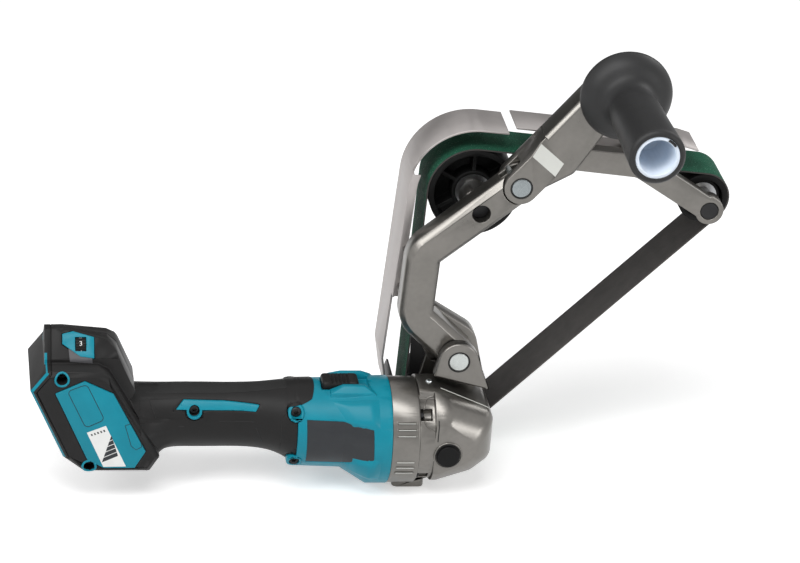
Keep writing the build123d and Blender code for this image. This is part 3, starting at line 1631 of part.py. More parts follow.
def cut_slot():
    """Solid of the battery's T slot, open at the heel."""
    with BuildPart() as slot:
        wide = facet_slab(slot_depth, slot_stop, slot_run_out, slot_half_width)
        extrude(wide, amount=slot_depth - slot_lip)
        narrow = facet_slab(slot_lip, slot_stop, slot_run_out, slot_mouth)
        extrude(narrow, amount=slot_lip + base_rim)
    return slot.part


battery_slot = cut_slot()
with BuildPart() as battery_base:
    add(handle_outer)
    extrude(polygon(side(beyond), base_region), amount=2 * beyond, mode=Mode.INTERSECT)
    tray = facet_slab(tray_depth, tray_start, facet_length, tray_half_width)
    extrude(tray, amount=tray_depth - base_rim / 2)
    add(battery_slot, mode=Mode.SUBTRACT)
save(battery_base, "battery_base")

with BuildPart() as terminal_block:
    block_start = slot_stop + terminal_from_stop
    block_end = block_start + terminal_length
    extrude(facet_slab(slot_depth, block_start, block_end, terminal_half_width), amount=terminal_height)
save(terminal_block, "terminal_block")

with BuildPart() as terminal_blades:
    with BuildSketch(facet(slot_depth - terminal_height)):
        with Locations(((block_start + block_end) / 2, 0)):
            with GridLocations(0, blade_pitch, 1, blade_count):
                Rectangle(blade_length, blade_thickness)
    extrude(amount=blade_height)
save(terminal_blades, "terminal_blades")

# Both halves of the shell start from one hollow body with screw bosses across it
screw_seats = [
    (grip_screw_at, grip_screw_seat),
    (top_screw_at, rear_screw_seat),
    (floor_screw_at, rear_screw_seat),
]
screws_at = [place for place, _ in screw_seats]
screw_bore = handle_screw_radius + body_clearance
with BuildPart() as boss_bars:
    with BuildSketch(side(beyond)):
        with Locations(*screws_at):
            Circle(screw_bore + handle_boss_wall)
    extrude(amount=2 * beyond)
    add(handle_outer, mode=Mode.INTERSECT)

with BuildPart() as shell_body:
    add(handle_outer)
    add(handle_inner, mode=Mode.SUBTRACT)
    add(boss_bars.part)
    extrude(polygon(side(beyond), base_region), amount=2 * beyond, mode=Mode.SUBTRACT)
    tray_room = tray_depth + seat_clearance
    tray_width = tray_half_width + seat_clearance
    extrude(
        facet_slab(tray_room, tray_start - seat_clearance, facet_length + seat_clearance, tray_width),
        amount=tray_room,
        mode=Mode.SUBTRACT,
    )
    add(battery_slot, mode=Mode.SUBTRACT)
    with BuildSketch(side(handle_screw_end)):
        with Locations(*screws_at):
            Circle(handle_screw_shank + seat_clearance)
    extrude(amount=handle_screw_end + beyond, mode=Mode.SUBTRACT)
    add(lug_form(body_clearance), mode=Mode.SUBTRACT)


def strip_outline_on(plane, grow, ring):
    """Outline of an accent strip, grown a little for its pocket, with the ring round its screw."""
    with BuildSketch(plane) as outline:
        with BuildLine():
            Polyline(*strip_outline, close=True)
        make_face()
        if grow:
            offset(amount=grow, kind=Kind.INTERSECTION)
        if ring:
            with Locations(grip_screw_at):
                Circle(strip_ring_radius + grow)
    return outline.sketch


def strip_pocket(hand):
    """Room for an accent strip on one side of the grip."""
    with BuildPart() as pocket:
        plane = side(0) if hand < 0 else side(beyond)
        extrude(strip_outline_on(plane, seat_clearance, hand < 0), amount=beyond)
        add(grip_form(strip_depth + seat_clearance), mode=Mode.SUBTRACT)
    return pocket.part


# The speed dial's plane lies on the near bevel of the hump
dial_y = -dial_from_edge - (hump_half_width - (hump_crest[1] - hump_bevel_low))
dial_z = hump_bevel_low + hump_half_width + dial_y


def bevel(depth):
    """Plane at a depth under the near bevel of the hump, centred on the dial, y up the slope."""
    slant = 1 / math.sqrt(2)
    return Plane(
        origin=(pad_to_spindle + dial_x, dial_y + slant * depth, spindle_height + dial_z - slant * depth),
        x_dir=(1, 0, 0),
        z_dir=(0, -slant, slant),
    )


dial_depth = dial_radius - dial_proud - dial_plate_proud
dial_plate_floor = dial_plate_thickness - dial_plate_proud
dial_centre = bevel(dial_depth).origin


def dial_end(length):
    """Plane across the dial's axle at the back end of a drum of this length."""
    origin = (dial_centre.X - length / 2, dial_centre.Y, dial_centre.Z)
    return Plane(origin=origin, x_dir=(0, 1, 0), z_dir=(1, 0, 0))


def dial_drum(radius, length):
    """Solid of a drum on the dial's axle."""
    with BuildPart() as drum:
        with BuildSketch(dial_end(length)):
            Circle(radius)
        extrude(amount=length)
    return drum.part


with BuildPart() as handle_shell_near:
    add(shell_body.part)
    split(bisect_by=Plane.XZ, keep=Keep.TOP)
    with BuildSketch(bevel(dial_block_depth)):
        Rectangle(dial_axle_length + 2 * dial_plate_thickness, 2 * dial_block_half_height)
    extrude(amount=dial_block_depth - shell_wall / 2)
    for place, seat in screw_seats:
        with BuildSketch(side(seat)):
            with Locations(place):
                Circle(screw_bore)
        extrude(amount=beyond, mode=Mode.SUBTRACT)
    panel_pocket = drawn_in(side(-rear_half_width + panel_depth), panel_outline, -seat_clearance)
    extrude(panel_pocket, amount=panel_depth, mode=Mode.SUBTRACT)
    add(strip_pocket(-1), mode=Mode.SUBTRACT)
    extrude(
        drawn_in(bevel(dial_plate_floor), dial_plate_outline, -seat_clearance),
        amount=2 * dial_plate_thickness,
        mode=Mode.SUBTRACT,
    )
    wheel_room = dial_drum(dial_radius + body_clearance, dial_width + 2 * body_clearance)
    add(wheel_room, mode=Mode.SUBTRACT)
    axle_room = dial_drum(dial_axle_radius + running_clearance, dial_axle_length + 2 * body_clearance)
    add(axle_room, mode=Mode.SUBTRACT)
save(handle_shell_near, "handle_shell_near")

with BuildPart() as handle_shell_far:
    add(shell_body.part)
    split(bisect_by=Plane.XZ, keep=Keep.BOTTOM)
    panel_pocket = drawn_in(side(rear_half_width), panel_outline, -seat_clearance)
    extrude(panel_pocket, amount=panel_depth, mode=Mode.SUBTRACT)
    add(strip_pocket(1), mode=Mode.SUBTRACT)
save(handle_shell_far, "handle_shell_far")

# Coloured panels and strips let into both sides of the shell
with BuildPart() as side_panels:
    for face in (-rear_half_width + panel_depth, rear_half_width + panel_proud):
        extrude(polygon(side(face), panel_outline), amount=panel_depth + panel_proud)
save(side_panels, "side_panels")

with BuildPart() as strip_skin:
    add(grip_form(-strip_proud))
    add(grip_form(strip_depth), mode=Mode.SUBTRACT)

with BuildPart() as accent_strips:
    extrude(strip_outline_on(side(0), 0, True), amount=beyond)
    extrude(strip_outline_on(side(beyond), 0, False), amount=beyond)
    add(strip_skin.part, mode=Mode.INTERSECT)
    with BuildSketch(side(0)):
        with Locations(grip_screw_at):
            Circle(screw_bore)
    extrude(amount=beyond, mode=Mode.SUBTRACT)
save(accent_strips, "accent_strips")

with BuildPart() as handle_screws:
    for place, seat in screw_seats:
        with BuildSketch(side(seat)):
            with Locations(place):
                Circle(handle_screw_radius)
        extrude(amount=handle_screw_height)
        with BuildSketch(side(seat - handle_screw_height)):
            with Locations(place):
                RegularPolygon(handle_screw_radius / 2, 6)
        extrude(amount=-handle_screw_height / 2, mode=Mode.SUBTRACT)
        with BuildSketch(side(handle_screw_end)):
            with Locations(place):
                Circle(handle_screw_shank)
        extrude(amount=handle_screw_end - seat)
save(handle_screws, "handle_screws")

# Speed dial: the plate round its window, and the thumb wheel on its axle
with BuildPart() as dial_plate:
    extrude(polygon(bevel(dial_plate_floor), dial_plate_outline), amount=dial_plate_thickness)
    window_depth = dial_depth - dial_plate_floor
    window_half = math.sqrt(dial_radius**2 - window_depth**2) + body_clearance
    with BuildSketch(bevel(dial_plate_floor)):
        Rectangle(dial_width + 2 * body_clearance, 2 * window_half)
    extrude(amount=dial_plate_thickness, mode=Mode.SUBTRACT)
save(dial_plate, "dial_plate")

with BuildPart() as speed_dial:
    add(dial_drum(dial_radius, dial_width))
    with BuildSketch(dial_end(dial_width)):
        with PolarLocations(dial_radius, dial_notches):
            Circle(dial_notch_radius)
    extrude(amount=dial_width, mode=Mode.SUBTRACT)
    add(dial_drum(dial_axle_radius, dial_axle_length))
save(speed_dial, "speed_dial")

# Electrics inside the shell
with BuildPart() as controller:
    with BuildSketch(deck(rear_toe[1] + shell_wall + seat_clearance)):
        with Locations((controller_x, 0)):
            RectangleRounded(controller_length, 2 * controller_half_width, shell_wall)
    extrude(amount=controller_height)
save(controller, "controller")

with BuildPart() as switch_unit:
    with BuildSketch(cross(switch_unit_x - switch_unit_length / 2)):
        with Locations((0, grip_middle[1])):
            Rectangle(2 * switch_unit_half_width, 2 * switch_unit_half_height)
    extrude(amount=switch_unit_length)
save(switch_unit, "switch_unit")
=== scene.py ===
# %% [markdown]
# # A cordless pipe belt sander
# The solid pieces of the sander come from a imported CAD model, which is loaded here as a fixed frame.
# Nothing in the frame is moved. This lesson gives each piece its finish, rounds the edges that catch
# the light, and adds the belt and the small pieces that are easier to make in Blender.

# %% Load the solid pieces
import json
from math import acos, atan2, ceil, copysign, cos, dist, hypot, pi, radians, sin

import bmesh
import bpy
from mathutils import Matrix, Vector
from mathutils.bvhtree import BVHTree


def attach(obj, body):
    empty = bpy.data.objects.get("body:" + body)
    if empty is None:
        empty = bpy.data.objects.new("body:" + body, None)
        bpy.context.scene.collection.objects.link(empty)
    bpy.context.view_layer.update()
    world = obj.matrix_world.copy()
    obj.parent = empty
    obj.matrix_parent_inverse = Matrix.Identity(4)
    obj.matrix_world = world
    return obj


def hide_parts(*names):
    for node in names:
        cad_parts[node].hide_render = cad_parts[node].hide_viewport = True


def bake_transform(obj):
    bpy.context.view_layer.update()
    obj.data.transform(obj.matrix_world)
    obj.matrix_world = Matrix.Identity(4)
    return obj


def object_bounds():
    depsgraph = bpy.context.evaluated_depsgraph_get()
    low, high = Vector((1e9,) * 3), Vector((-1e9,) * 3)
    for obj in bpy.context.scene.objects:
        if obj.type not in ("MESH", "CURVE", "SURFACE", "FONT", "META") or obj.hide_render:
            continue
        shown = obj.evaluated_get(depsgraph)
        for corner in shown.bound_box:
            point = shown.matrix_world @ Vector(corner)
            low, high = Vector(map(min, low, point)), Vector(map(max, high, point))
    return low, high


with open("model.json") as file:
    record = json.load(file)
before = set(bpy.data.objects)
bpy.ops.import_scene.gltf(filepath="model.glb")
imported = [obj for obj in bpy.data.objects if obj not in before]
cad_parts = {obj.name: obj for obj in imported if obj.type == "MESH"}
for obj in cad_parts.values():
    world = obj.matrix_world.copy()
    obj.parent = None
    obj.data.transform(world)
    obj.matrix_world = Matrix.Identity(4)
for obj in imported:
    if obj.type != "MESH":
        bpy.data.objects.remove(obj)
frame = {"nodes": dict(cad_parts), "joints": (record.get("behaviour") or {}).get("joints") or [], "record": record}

MM = 0.001
solid_box = [list(corner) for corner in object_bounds()]
joint_place = {joint["name"]: Vector(joint["pos_m"]) for joint in frame["joints"] if "pos_m" in joint}
spindle_place = joint_place["spindle_spin"]
body_of_node = {}
for body, members in frame["record"]["behaviour"]["bodies"].items():
    for member in members:
        body_of_node[member] = body
slot_of_node = {part["node"]: part["material_slot"] for part in frame["record"]["subparts"]}


def at(x, y, z):
    """A point given in millimetres from where the spindle's axis crosses the motor's."""
    return Vector((spindle_place.x + x * MM, y * MM, spindle_place.z + z * MM))


# %% [markdown]
# Shader maths and Geometry Nodes maths read best as plain arithmetic. A small class wraps the output of a
# node, and its operators add Math nodes. A second class holds a node tree. Its first method adds any node:
# the values or links of its sockets, and then its settings. The others add the common vector nodes.

# %% Sockets that can be added and multiplied
class Socket:
    """The output of a node, for use in arithmetic."""

    def __init__(self, net, output):
        self.net = net
        self.output = output

    def other(self, name):
        """Another output of the same node."""
        return Socket(self.net, self.output.node.outputs[name])

    def math(self, operation, first, second=0.0):
        return self.net.node("ShaderNodeMath", {0: first, 1: second}, operation=operation)

    def __add__(self, other):
        return self.math("ADD", self, other)

    def __radd__(self, other):
        return self.math("ADD", other, self)

    def __sub__(self, other):
        return self.math("SUBTRACT", self, other)

    def __rsub__(self, other):
        return self.math("SUBTRACT", other, self)

    def __mul__(self, other):
        return self.math("MULTIPLY", self, other)

    def __rmul__(self, other):
        return self.math("MULTIPLY", other, self)

    def __truediv__(self, other):
        return self.math("DIVIDE", self, other)

    def cosine(self):
        return self.math("COSINE", self)


class Net:
    """A node tree."""

    def __init__(self, tree):
        self.tree = tree

    def node(self, kind, inputs, output=0, **settings):
        """Adds a node with the values or links of its sockets, and its settings."""
        made = self.tree.nodes.new(kind)
        for name, value in settings.items():
            setattr(made, name, value)
        for name, value in inputs.items():
            for item in value if isinstance(value, list) else [value]:
                if isinstance(item, Socket):
                    self.tree.links.new(item.output, made.inputs[name])
                else:
                    made.inputs[name].default_value = item
        return Socket(self, made.outputs[output])

    def vector(self, **parts):
        """A vector from its parts X, Y and Z."""
        return self.node("ShaderNodeCombineXYZ", parts)

    def split(self, vector):
        """The X of a vector. Its Y and Z are other outputs of the same node."""
        return self.node("ShaderNodeSeparateXYZ", {"Vector": vector}, "X")

    def vector_math(self, operation, inputs, output=0):
        return self.node("ShaderNodeVectorMath", inputs, output, operation=operation)


print("a socket adds, subtracts, multiplies and divides")

# %% [markdown]
# A finish is one material on a Principled shader. What varies over the surface goes to the colour, the
# roughness and the bump; a value that is the same all over is set on the shader itself.

# %% Finishes
finishes = {}


class Finish(Net):
    """One material on a Principled shader, kept in finishes under its name."""

    def __init__(self, name, constants):
        self.material = bpy.data.materials.new(name)
        self.material.use_nodes = True
        finishes[name] = self.material
        super().__init__(self.material.node_tree)
        self.shader = self.tree.nodes["Principled BSDF"]
        for socket, value in constants.items():
            self.shader.inputs[socket].default_value = value
        self.place = self.node("ShaderNodeTexCoord", {}, "Object")

    def feed(self, **links):
        """Links sockets to the shader: Base_Color, Roughness, Normal and so on."""
        for name, value in links.items():
            self.tree.links.new(value.output, self.shader.inputs[name.replace("_", " ")])

    def noise(self, size, detail=2.0, where=None):
        """Noise whose lumps are about size millimetres across, from 0 to 1."""
        inputs = {"Vector": where or self.place, "Scale": 1 / (size * MM), "Detail": detail}
        return self.node("ShaderNodeTexNoise", inputs, "Fac")

    def between(self, low, high, share):
        """A colour between two colours, which are sockets 6 and 7 of a colour mix."""
        return self.node("ShaderNodeMix", {0: share, 6: low, 7: high}, 2, data_type="RGBA")

    def spread(self, share, low, high):
        """A value stretched from the range low to high onto 0 to 1, and held there."""
        inputs = {"Value": share, "From Min": low, "From Max": high}
        return self.node("ShaderNodeMapRange", inputs, "Result")

    def bump(self, height, distance):
        """A surface normal from a height, whose full step is distance millimetres."""
        inputs = {"Height": height, "Distance": distance * MM}
        return self.node("ShaderNodeBump", inputs, "Normal")

    def coat(self, dark, light, shade, gloss, sheen, relief, depth):
        """Two screen colours mixed by shade, a roughness range mixed by sheen, and a bump from a relief."""
        self.feed(
            Base_Color=self.between(rgb(*dark), rgb(*light), shade),
            Roughness=gloss[0] + (gloss[1] - gloss[0]) * sheen,
            Normal=self.bump(relief, depth),
        )


def rgb(red, green, blue):
    """A screen colour from 0 to 255 as a linear colour with full alpha."""
    linear = []
    for part in (red / 255, green / 255, blue / 255):
        linear.append(part / 12.92 if part <= 0.04045 else ((part + 0.055) / 1.055) ** 2.4)
    return (*linear, 1.0)


print("a mid grey of 128 is", round(rgb(128, 128, 128)[0], 3), "in linear light")

# %% [markdown]
# The housings are moulded plastic. Moulds are spark eroded, so the skin has a fine grain that spreads the
# highlight. The colour is nearly even, with faint clouds from the pigment, and hands polish it in patches.
# A call gives two screen colours, a range of roughness, the grain's size and depth, and the mirror share.

# %% Moulded plastics
def moulded_plastic(name, dark, light, gloss, grain_size, grain_depth, mirror=0.5):
    """Plastic from a grained mould."""
    finish = Finish(name, {"IOR": 1.48, "Specular IOR Level": mirror})
    clouds = finish.spread(finish.noise(14, 3.0), 0.3, 0.7)
    grain = finish.noise(grain_size)
    handled = finish.spread(finish.noise(45, 4.0), 0.35, 0.75)
    shade, sheen = 0.6 * clouds + 0.4 * grain, 0.55 * handled + 0.45 * grain
    finish.coat(dark, light, shade, gloss, sheen, grain, grain_depth)


teal_shades = (12, 126, 146), (17, 136, 156)
dark_shades = (25, 25, 25), (31, 30, 30)
moulded_plastic("teal_plastic", *teal_shades, (0.3, 0.44), 0.5, 0.02, 0.24)
moulded_plastic("dark_plastic", *dark_shades, (0.4, 0.55), 0.6, 0.04, 0.2)
moulded_plastic("inner_plastic", (70, 70, 73), (82, 82, 85), (0.5, 0.65), 0.8, 0.03)
moulded_plastic("handle_rubber", (27, 27, 27), (34, 34, 35), (0.42, 0.55), 0.7, 0.05, 0.35)
moulded_plastic("grip_rubber", (30, 30, 30), (38, 38, 38), (0.62, 0.75), 0.8, 0.08, 0.25)
moulded_plastic("liner_plastic", (214, 226, 240), (228, 236, 246), (0.38, 0.5), 1.0, 0.02)
moulded_plastic("label_film", (44, 46, 49), (52, 54, 57), (0.3, 0.42), 0.4, 0.005, 0.25)
# The pulleys' black is partly painted shade: darker than the plastic itself, so the pulleys look shaded inside the
# guard. The lock button wears it too.
moulded_plastic("pulley_black", (10, 10, 10), (16, 16, 16), (0.45, 0.6), 0.7, 0.04, 0.15)
moulded_plastic("pulley_rubber", (36, 36, 36), (46, 46, 46), (0.6, 0.75), 0.6, 0.05)
moulded_plastic("pale_film", (222, 222, 220), (234, 234, 232), (0.3, 0.42), 0.5, 0.004)
# Seam shadow is painted shade: thin dark beads in it stand for the shade in grooves, seams, gaps and notches.
moulded_plastic("seam_shadow", (16, 16, 16), (24, 24, 24), (0.7, 0.85), 0.5, 0.01)
print("plastics", sorted(finishes))

# %% [markdown]
# The arms and the gear head are aluminium castings under a satin lacquer, the guards are coated sheet and
# the pins are turned steel. All are metals with a grey base colour. The casting has a soft orange peel, and
# the sheet and the steel have fine scratches, made from noise that is squeezed along one direction.

# %% Metals
def metal(name, dark, light, metallic, gloss, lump, depth, stretch=(1, 1, 1), detail=3.0):
    """Metal with a fine relief, whose lumps and depth are in millimetres."""
    finish = Finish(name, {"Metallic": metallic})
    squeezed = finish.node("ShaderNodeMapping", {"Vector": finish.place, "Scale": stretch})
    relief = finish.noise(lump, detail, squeezed)
    clouds = finish.spread(finish.noise(22, 4.0), 0.3, 0.7)
    shade, sheen = 0.6 * clouds + 0.4 * relief, 0.5 * clouds + 0.5 * relief
    finish.coat(dark, light, shade, gloss, sheen, relief, depth)


metal("cast_grey", (108, 106, 102), (122, 119, 115), 0.92, (0.26, 0.34), 3.0, 0.006, detail=0.0)
metal("guard_sheet", (166, 161, 159), (178, 173, 171), 0.7, (0.42, 0.54), 1.2, 0.012, (1, 1, 0.15))
# Painted highlights: a lighter metal for thin beads and patches that paint light on edges and facets.
metal("milled_face", (184, 185, 180), (198, 199, 194), 0.25, (0.42, 0.55), 1.0, 0.004)
metal("pin_steel", (200, 206, 208), (222, 227, 228), 1.0, (0.22, 0.34), 0.5, 0.01)
metal("bare_steel", (150, 151, 153), (172, 173, 175), 1.0, (0.25, 0.38), 0.6, 0.012, (1, 0.1, 1))
metal("black_screws", (30, 30, 31), (42, 42, 43), 0.6, (0.36, 0.5), 0.4, 0.01)
metal("copper", (190, 110, 70), (212, 132, 90), 1.0, (0.3, 0.42), 0.8, 0.02, (0.2, 1, 1))
print("plastics and metals", len(finishes))

# %% [markdown]
# The belt has two faces. The back is a dark woven cloth, drawn from two crossing waves along the belt's own
# map. The front is abrasive: green bond with sharp grains, which are cells of a Voronoi pattern with a dark
# gap round each and a lighter glint on some.

# %% Belt cloth and abrasive grain
def belt_cloth():
    """The woven back of the belt."""
    finish = Finish("belt_cloth", {"IOR": 1.45})
    along = finish.split(finish.node("ShaderNodeUVMap", {}, "UV", uv_map="UVMap"))
    thread = 2 * pi / (0.8 * MM)
    warp = (along * thread).cosine()
    weft = (along.other("Y") * thread).cosine()
    weave = warp * weft * 0.5 + 0.5
    clouds = finish.spread(finish.noise(9, 4.0), 0.3, 0.75)
    fuzz = finish.noise(0.35)
    shade = 0.25 * weave + 0.45 * clouds + 0.3 * fuzz
    finish.coat((56, 54, 53), (76, 73, 71), shade, (0.72, 0.88), fuzz, 0.7 * weave + 0.3 * fuzz, 0.08)


def belt_grain():
    """The abrasive face of the belt."""
    finish = Finish("belt_grain", {"IOR": 1.6, "Specular IOR Level": 0.2})
    inputs = {"Vector": finish.place, "Scale": 1 / (0.7 * MM)}
    cells = finish.node("ShaderNodeTexVoronoi", inputs, "Distance", feature="DISTANCE_TO_EDGE")
    tint = finish.noise(0.9)
    clouds = finish.spread(finish.noise(16, 3.0), 0.3, 0.7)
    grain = finish.spread(cells, 0.02, 0.3)
    bond = finish.between(rgb(13, 56, 41), rgb(32, 108, 80), 0.55 * grain + 0.25 * clouds + 0.2 * tint)
    finish.feed(
        Base_Color=finish.between(bond, rgb(120, 170, 145), finish.spread(tint, 0.66, 0.74)),
        Roughness=0.75 - 0.3 * finish.spread(tint, 0.6, 0.72),
        Normal=finish.bump(grain, 0.18),
    )


belt_cloth()
belt_grain()
print("finishes", len(finishes))

# %% [markdown]
# Each solid piece names its material slot in the record, so a loop can hand out the finishes.

# %% Give each solid piece its finish
for name, piece in frame["nodes"].items():
    piece.data.materials.clear()
    piece.data.materials.append(finishes[slot_of_node[name]])
print("finished pieces", len(slot_of_node))

# %% [markdown]
# No real casting or moulding has a knife edge. A round of half a millimetre to a millimetre catches a thin
# highlight, and that line is what makes an edge read as real. The CAD mesh stays as it is: a copy has its
# loose triangles merged and its flat facets joined, and a Bevel modifier rounds every edge that is sharper
# than a set angle. Where edges crowd together the rounding can throw a corner out into the air, so any corner
# that strays goes back to the solid. The rounded skin then stands for the solid piece.

# %% Helpers for meshes
def new_piece(name, data):
    piece = bpy.data.objects.new(name, data)
    bpy.context.scene.collection.objects.link(piece)
    return piece


def raw_mesh(name, corners, links=(), faces=()):
    mesh = bpy.data.meshes.new(name)
    mesh.from_pydata(corners, links, faces)
    return mesh


def evaluated_mesh(piece):
    """The mesh that a piece's modifiers or text give."""
    graph = bpy.context.evaluated_depsgraph_get()
    return bpy.data.meshes.new_from_object(piece.evaluated_get(graph))


def plain_mesh(piece):
    """Bakes a piece's modifiers into its mesh."""
    mesh = evaluated_mesh(piece)
    piece.modifiers.clear()
    piece.data = mesh
    return piece


def merged_shape(mesh, gap=0.002):
    """A copy of a mesh for editing, with corners merged that are closer than a gap in millimetres."""
    shape = bmesh.new()
    shape.from_mesh(mesh)
    bmesh.ops.remove_doubles(shape, verts=shape.verts, dist=gap * MM)
    return shape


def store_shape(shape, mesh):
    shape.to_mesh(mesh)
    shape.free()


def surface_of(*nodes):
    """The solid pieces' surface, for casting rays and finding near points."""
    corners, faces = [], []
    for node in nodes:
        mesh = frame["nodes"][node].data
        start = len(corners)
        corners += [vertex.co.copy() for vertex in mesh.vertices]
        faces += [[start + corner for corner in polygon.vertices] for polygon in mesh.polygons]
    return BVHTree.FromPolygons(corners, faces)


print("helpers for meshes are ready")

# %% Rounded skins
flat_angle = radians(0.6)
sharp_angle = radians(32)
stray_share = 0.6


def rounded_skin(node, width, joined=True):
    """The solid piece's skin with its sharp edges rounded to a width in millimetres."""
    shape = merged_shape(frame["nodes"][node].data)
    if joined:
        bmesh.ops.dissolve_limit(shape, angle_limit=flat_angle, verts=shape.verts, edges=shape.edges)
    mesh = bpy.data.meshes.new(node + "_skin")
    store_shape(shape, mesh)
    mesh.shade_smooth()
    mesh.materials.append(finishes[slot_of_node[node]])
    piece = new_piece(node + "_skin", mesh)
    edges = piece.modifiers.new("edges", "BEVEL")
    edges.width = width * MM
    edges.segments = 2
    edges.limit_method = "ANGLE"
    edges.angle_limit = sharp_angle
    edges.use_clamp_overlap = False
    edges.harden_normals = True
    plain_mesh(piece)
    surface = surface_of(node)
    for corner in piece.data.vertices:
        nearest, _, _, gap = surface.find_nearest(corner.co)
        if gap > stray_share * width * MM:
            corner.co = nearest
    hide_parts(node)
    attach(piece, body_of_node[node])
    return piece


round_widths = {
    "gear_housing": 0.45, "motor_housing": 0.6, "handle_shell_near": 0.8, "handle_shell_far": 0.8,
    "lower_arm": 0.45, "upper_arm": 0.7, "arm_bracket": 0.9, "side_handle": 0.8, "handle_liner": 0.5,
    "arm_guard": 0.3, "top_guard": 0.3, "drive_guard": 0.3, "battery_base": 0.5, "side_panels": 0.45,
    "accent_strips": 0.35, "dial_plate": 0.3, "slide_switch": 0.5, "pivot_pin": 0.35, "elbow_pin": 0.35,
    "lock_button": 0.5, "upper_idler": 0.5, "tip_idler": 0.5, "drive_pulley": 0.5, "bearing_box": 0.6,
}
# Joining the facets of these three spoils their rounding, so they keep their triangles.
split_faces = ("tip_idler", "handle_shell_near", "battery_base")
skins = {node: rounded_skin(node, width, node not in split_faces) for node, width in round_widths.items()}
print("rounded skins", {node: len(skin.data.polygons) for node, skin in skins.items()})

# %% [markdown]
# The belt is a closed loop of abrasive cloth round three pulleys, so its shape follows a rule: arcs on the
# pulleys and straight runs that touch them. Python finds the touching points, and a Geometry Nodes tree
# pulls the line out sideways to a ribbon, gives it thickness and sorts the cloth side from the grain side.
# The arms swing, so the loop is made in four lengths, each listed with the two bodies at its ends.

# %% Geometry Nodes recipes
class Recipe(Net):
    """A Geometry Nodes tree with named sizes that turns a source mesh into a finished piece."""

    def __init__(self, name, sizes):
        super().__init__(bpy.data.node_groups.new(name, "GeometryNodeTree"))
        kinds = {"Source": "Geometry", "Finish": "Material", **dict.fromkeys(sizes, "Float")}
        for label, kind in kinds.items():
            self.tree.interface.new_socket(label, in_out="INPUT", socket_type="NodeSocket" + kind)
        self.tree.interface.new_socket("Piece", in_out="OUTPUT", socket_type="NodeSocketGeometry")
        entry = self.tree.nodes.new("NodeGroupInput")
        self.size = {label: Socket(self, entry.outputs[label]) for label in kinds}
        self.source, self.finish = self.size.pop("Source"), self.size.pop("Finish")

    def place(self):
        return self.node("GeometryNodeInputPosition", {})

    def named(self, name, kind):
        """An attribute of the source by its name."""
        return self.node("GeometryNodeInputNamedAttribute", {"Name": name}, "Attribute", data_type=kind)

    def store(self, geometry, name, value, kind, domain):
        """The geometry with a value kept as a named attribute."""
        inputs = {"Geometry": geometry, "Name": name, "Value": value}
        return self.node("GeometryNodeStoreNamedAttribute", inputs, data_type=kind, domain=domain)

    def extrude(self, mode, inputs):
        return self.node("GeometryNodeExtrudeMesh", inputs, mode=mode)

    def join(self, *pieces):
        return self.node("GeometryNodeJoinGeometry", {"Geometry": list(pieces)})

    def merge(self, geometry, gap):
        """The geometry with corners merged that are closer than a gap in millimetres."""
        return self.node("GeometryNodeMergeByDistance", {"Geometry": geometry, "Distance": gap * MM})

    def real(self, geometry):
        """The geometry with real instances, in the recipe's finish."""
        made = self.node("GeometryNodeRealizeInstances", {"Geometry": geometry})
        return self.node("GeometryNodeSetMaterial", {"Geometry": made, "Material": self.finish})

    def close(self, geometry):
        exit_node = self.tree.nodes.new("NodeGroupOutput")
        self.tree.links.new(geometry.output, exit_node.inputs["Piece"])

    def make(self, name, source, finish, sizes):
        """Runs the recipe on a source mesh, with sizes in metres, and leaves a plain mesh."""
        piece = new_piece(name, source)
        modifier = piece.modifiers.new("recipe", "NODES")
        modifier.node_group = self.tree
        values = {"Finish": finishes[finish], **sizes}
        for item in self.tree.interface.items_tree:
            if item.in_out == "INPUT" and item.name in values:
                modifier[item.identifier] = values[item.name]
        return plain_mesh(piece)


def belt_recipe():
    """A ribbon of belt from the line of its near edge."""
    recipe = Recipe("belt_ribbon", ["Width", "Thickness", "Middle X", "Middle Z"])
    across = recipe.vector(Y=recipe.size["Width"])
    ribbon = recipe.extrude("EDGES", {"Mesh": recipe.source, "Offset": across, "Offset Scale": 1.0})
    centre = recipe.vector(X=recipe.size["Middle X"], Z=recipe.size["Middle Z"])
    place = recipe.place()
    normal = recipe.node("GeometryNodeInputNormal", {})
    from_centre = recipe.vector_math("SUBTRACT", {0: place, 1: centre})
    facing = recipe.vector_math("DOT_PRODUCT", {0: normal, 1: from_centre}, "Value")
    step = facing.math("SIGN", facing) * recipe.size["Thickness"]
    outward = recipe.vector_math("SCALE", {0: normal, "Scale": step})
    lift = {"Mesh": ribbon, "Offset": outward, "Offset Scale": 1.0, "Individual": False}
    raised = recipe.extrude("FACES", lift)
    marked = recipe.store(raised, "grain_side", raised.other("Top"), "BOOLEAN", "FACE")
    closed = recipe.merge(recipe.join(marked, ribbon), 0.01)
    chart = recipe.vector(X=recipe.named("run", "FLOAT"), Y=recipe.split(place).other("Y"))
    cloth = recipe.real(recipe.store(closed, "UVMap", chart, "FLOAT2", "CORNER"))
    grain_side = recipe.named("grain_side", "BOOLEAN")
    coat = {"Geometry": cloth, "Selection": grain_side, "Material": finishes["belt_grain"]}
    recipe.close(recipe.node("GeometryNodeSetMaterial", coat))
    return recipe


make_belt = belt_recipe()
print("belt sizes", sorted(make_belt.size))

# %% [markdown]
# The drive pulley is number 0, the upper idler 1 and the tip idler 2. A run between two pulleys touches both
# at the same angle. The lengths meet in the middle of each pulley's arc and of the long free run.

# %% The belt's line
belt_width = 40.0
belt_near = 42.5
belt_thickness = 1.2
pulleys = [Vector((0, 0)), Vector((9.5, 171.4)), Vector((180.2, 169.2))]
belt_radii = [29.3, 33.3, 18.8]


def touch_turn(first, second):
    """The angle at which the run between two pulleys touches both, on the outside of the loop."""
    way = pulleys[second] - pulleys[first]
    lean = acos((belt_radii[first] - belt_radii[second]) / way.length)
    return atan2(way.y, way.x) + lean


def on_pulley(which, turn):
    return pulleys[which] + belt_radii[which] * Vector((cos(turn), sin(turn)))


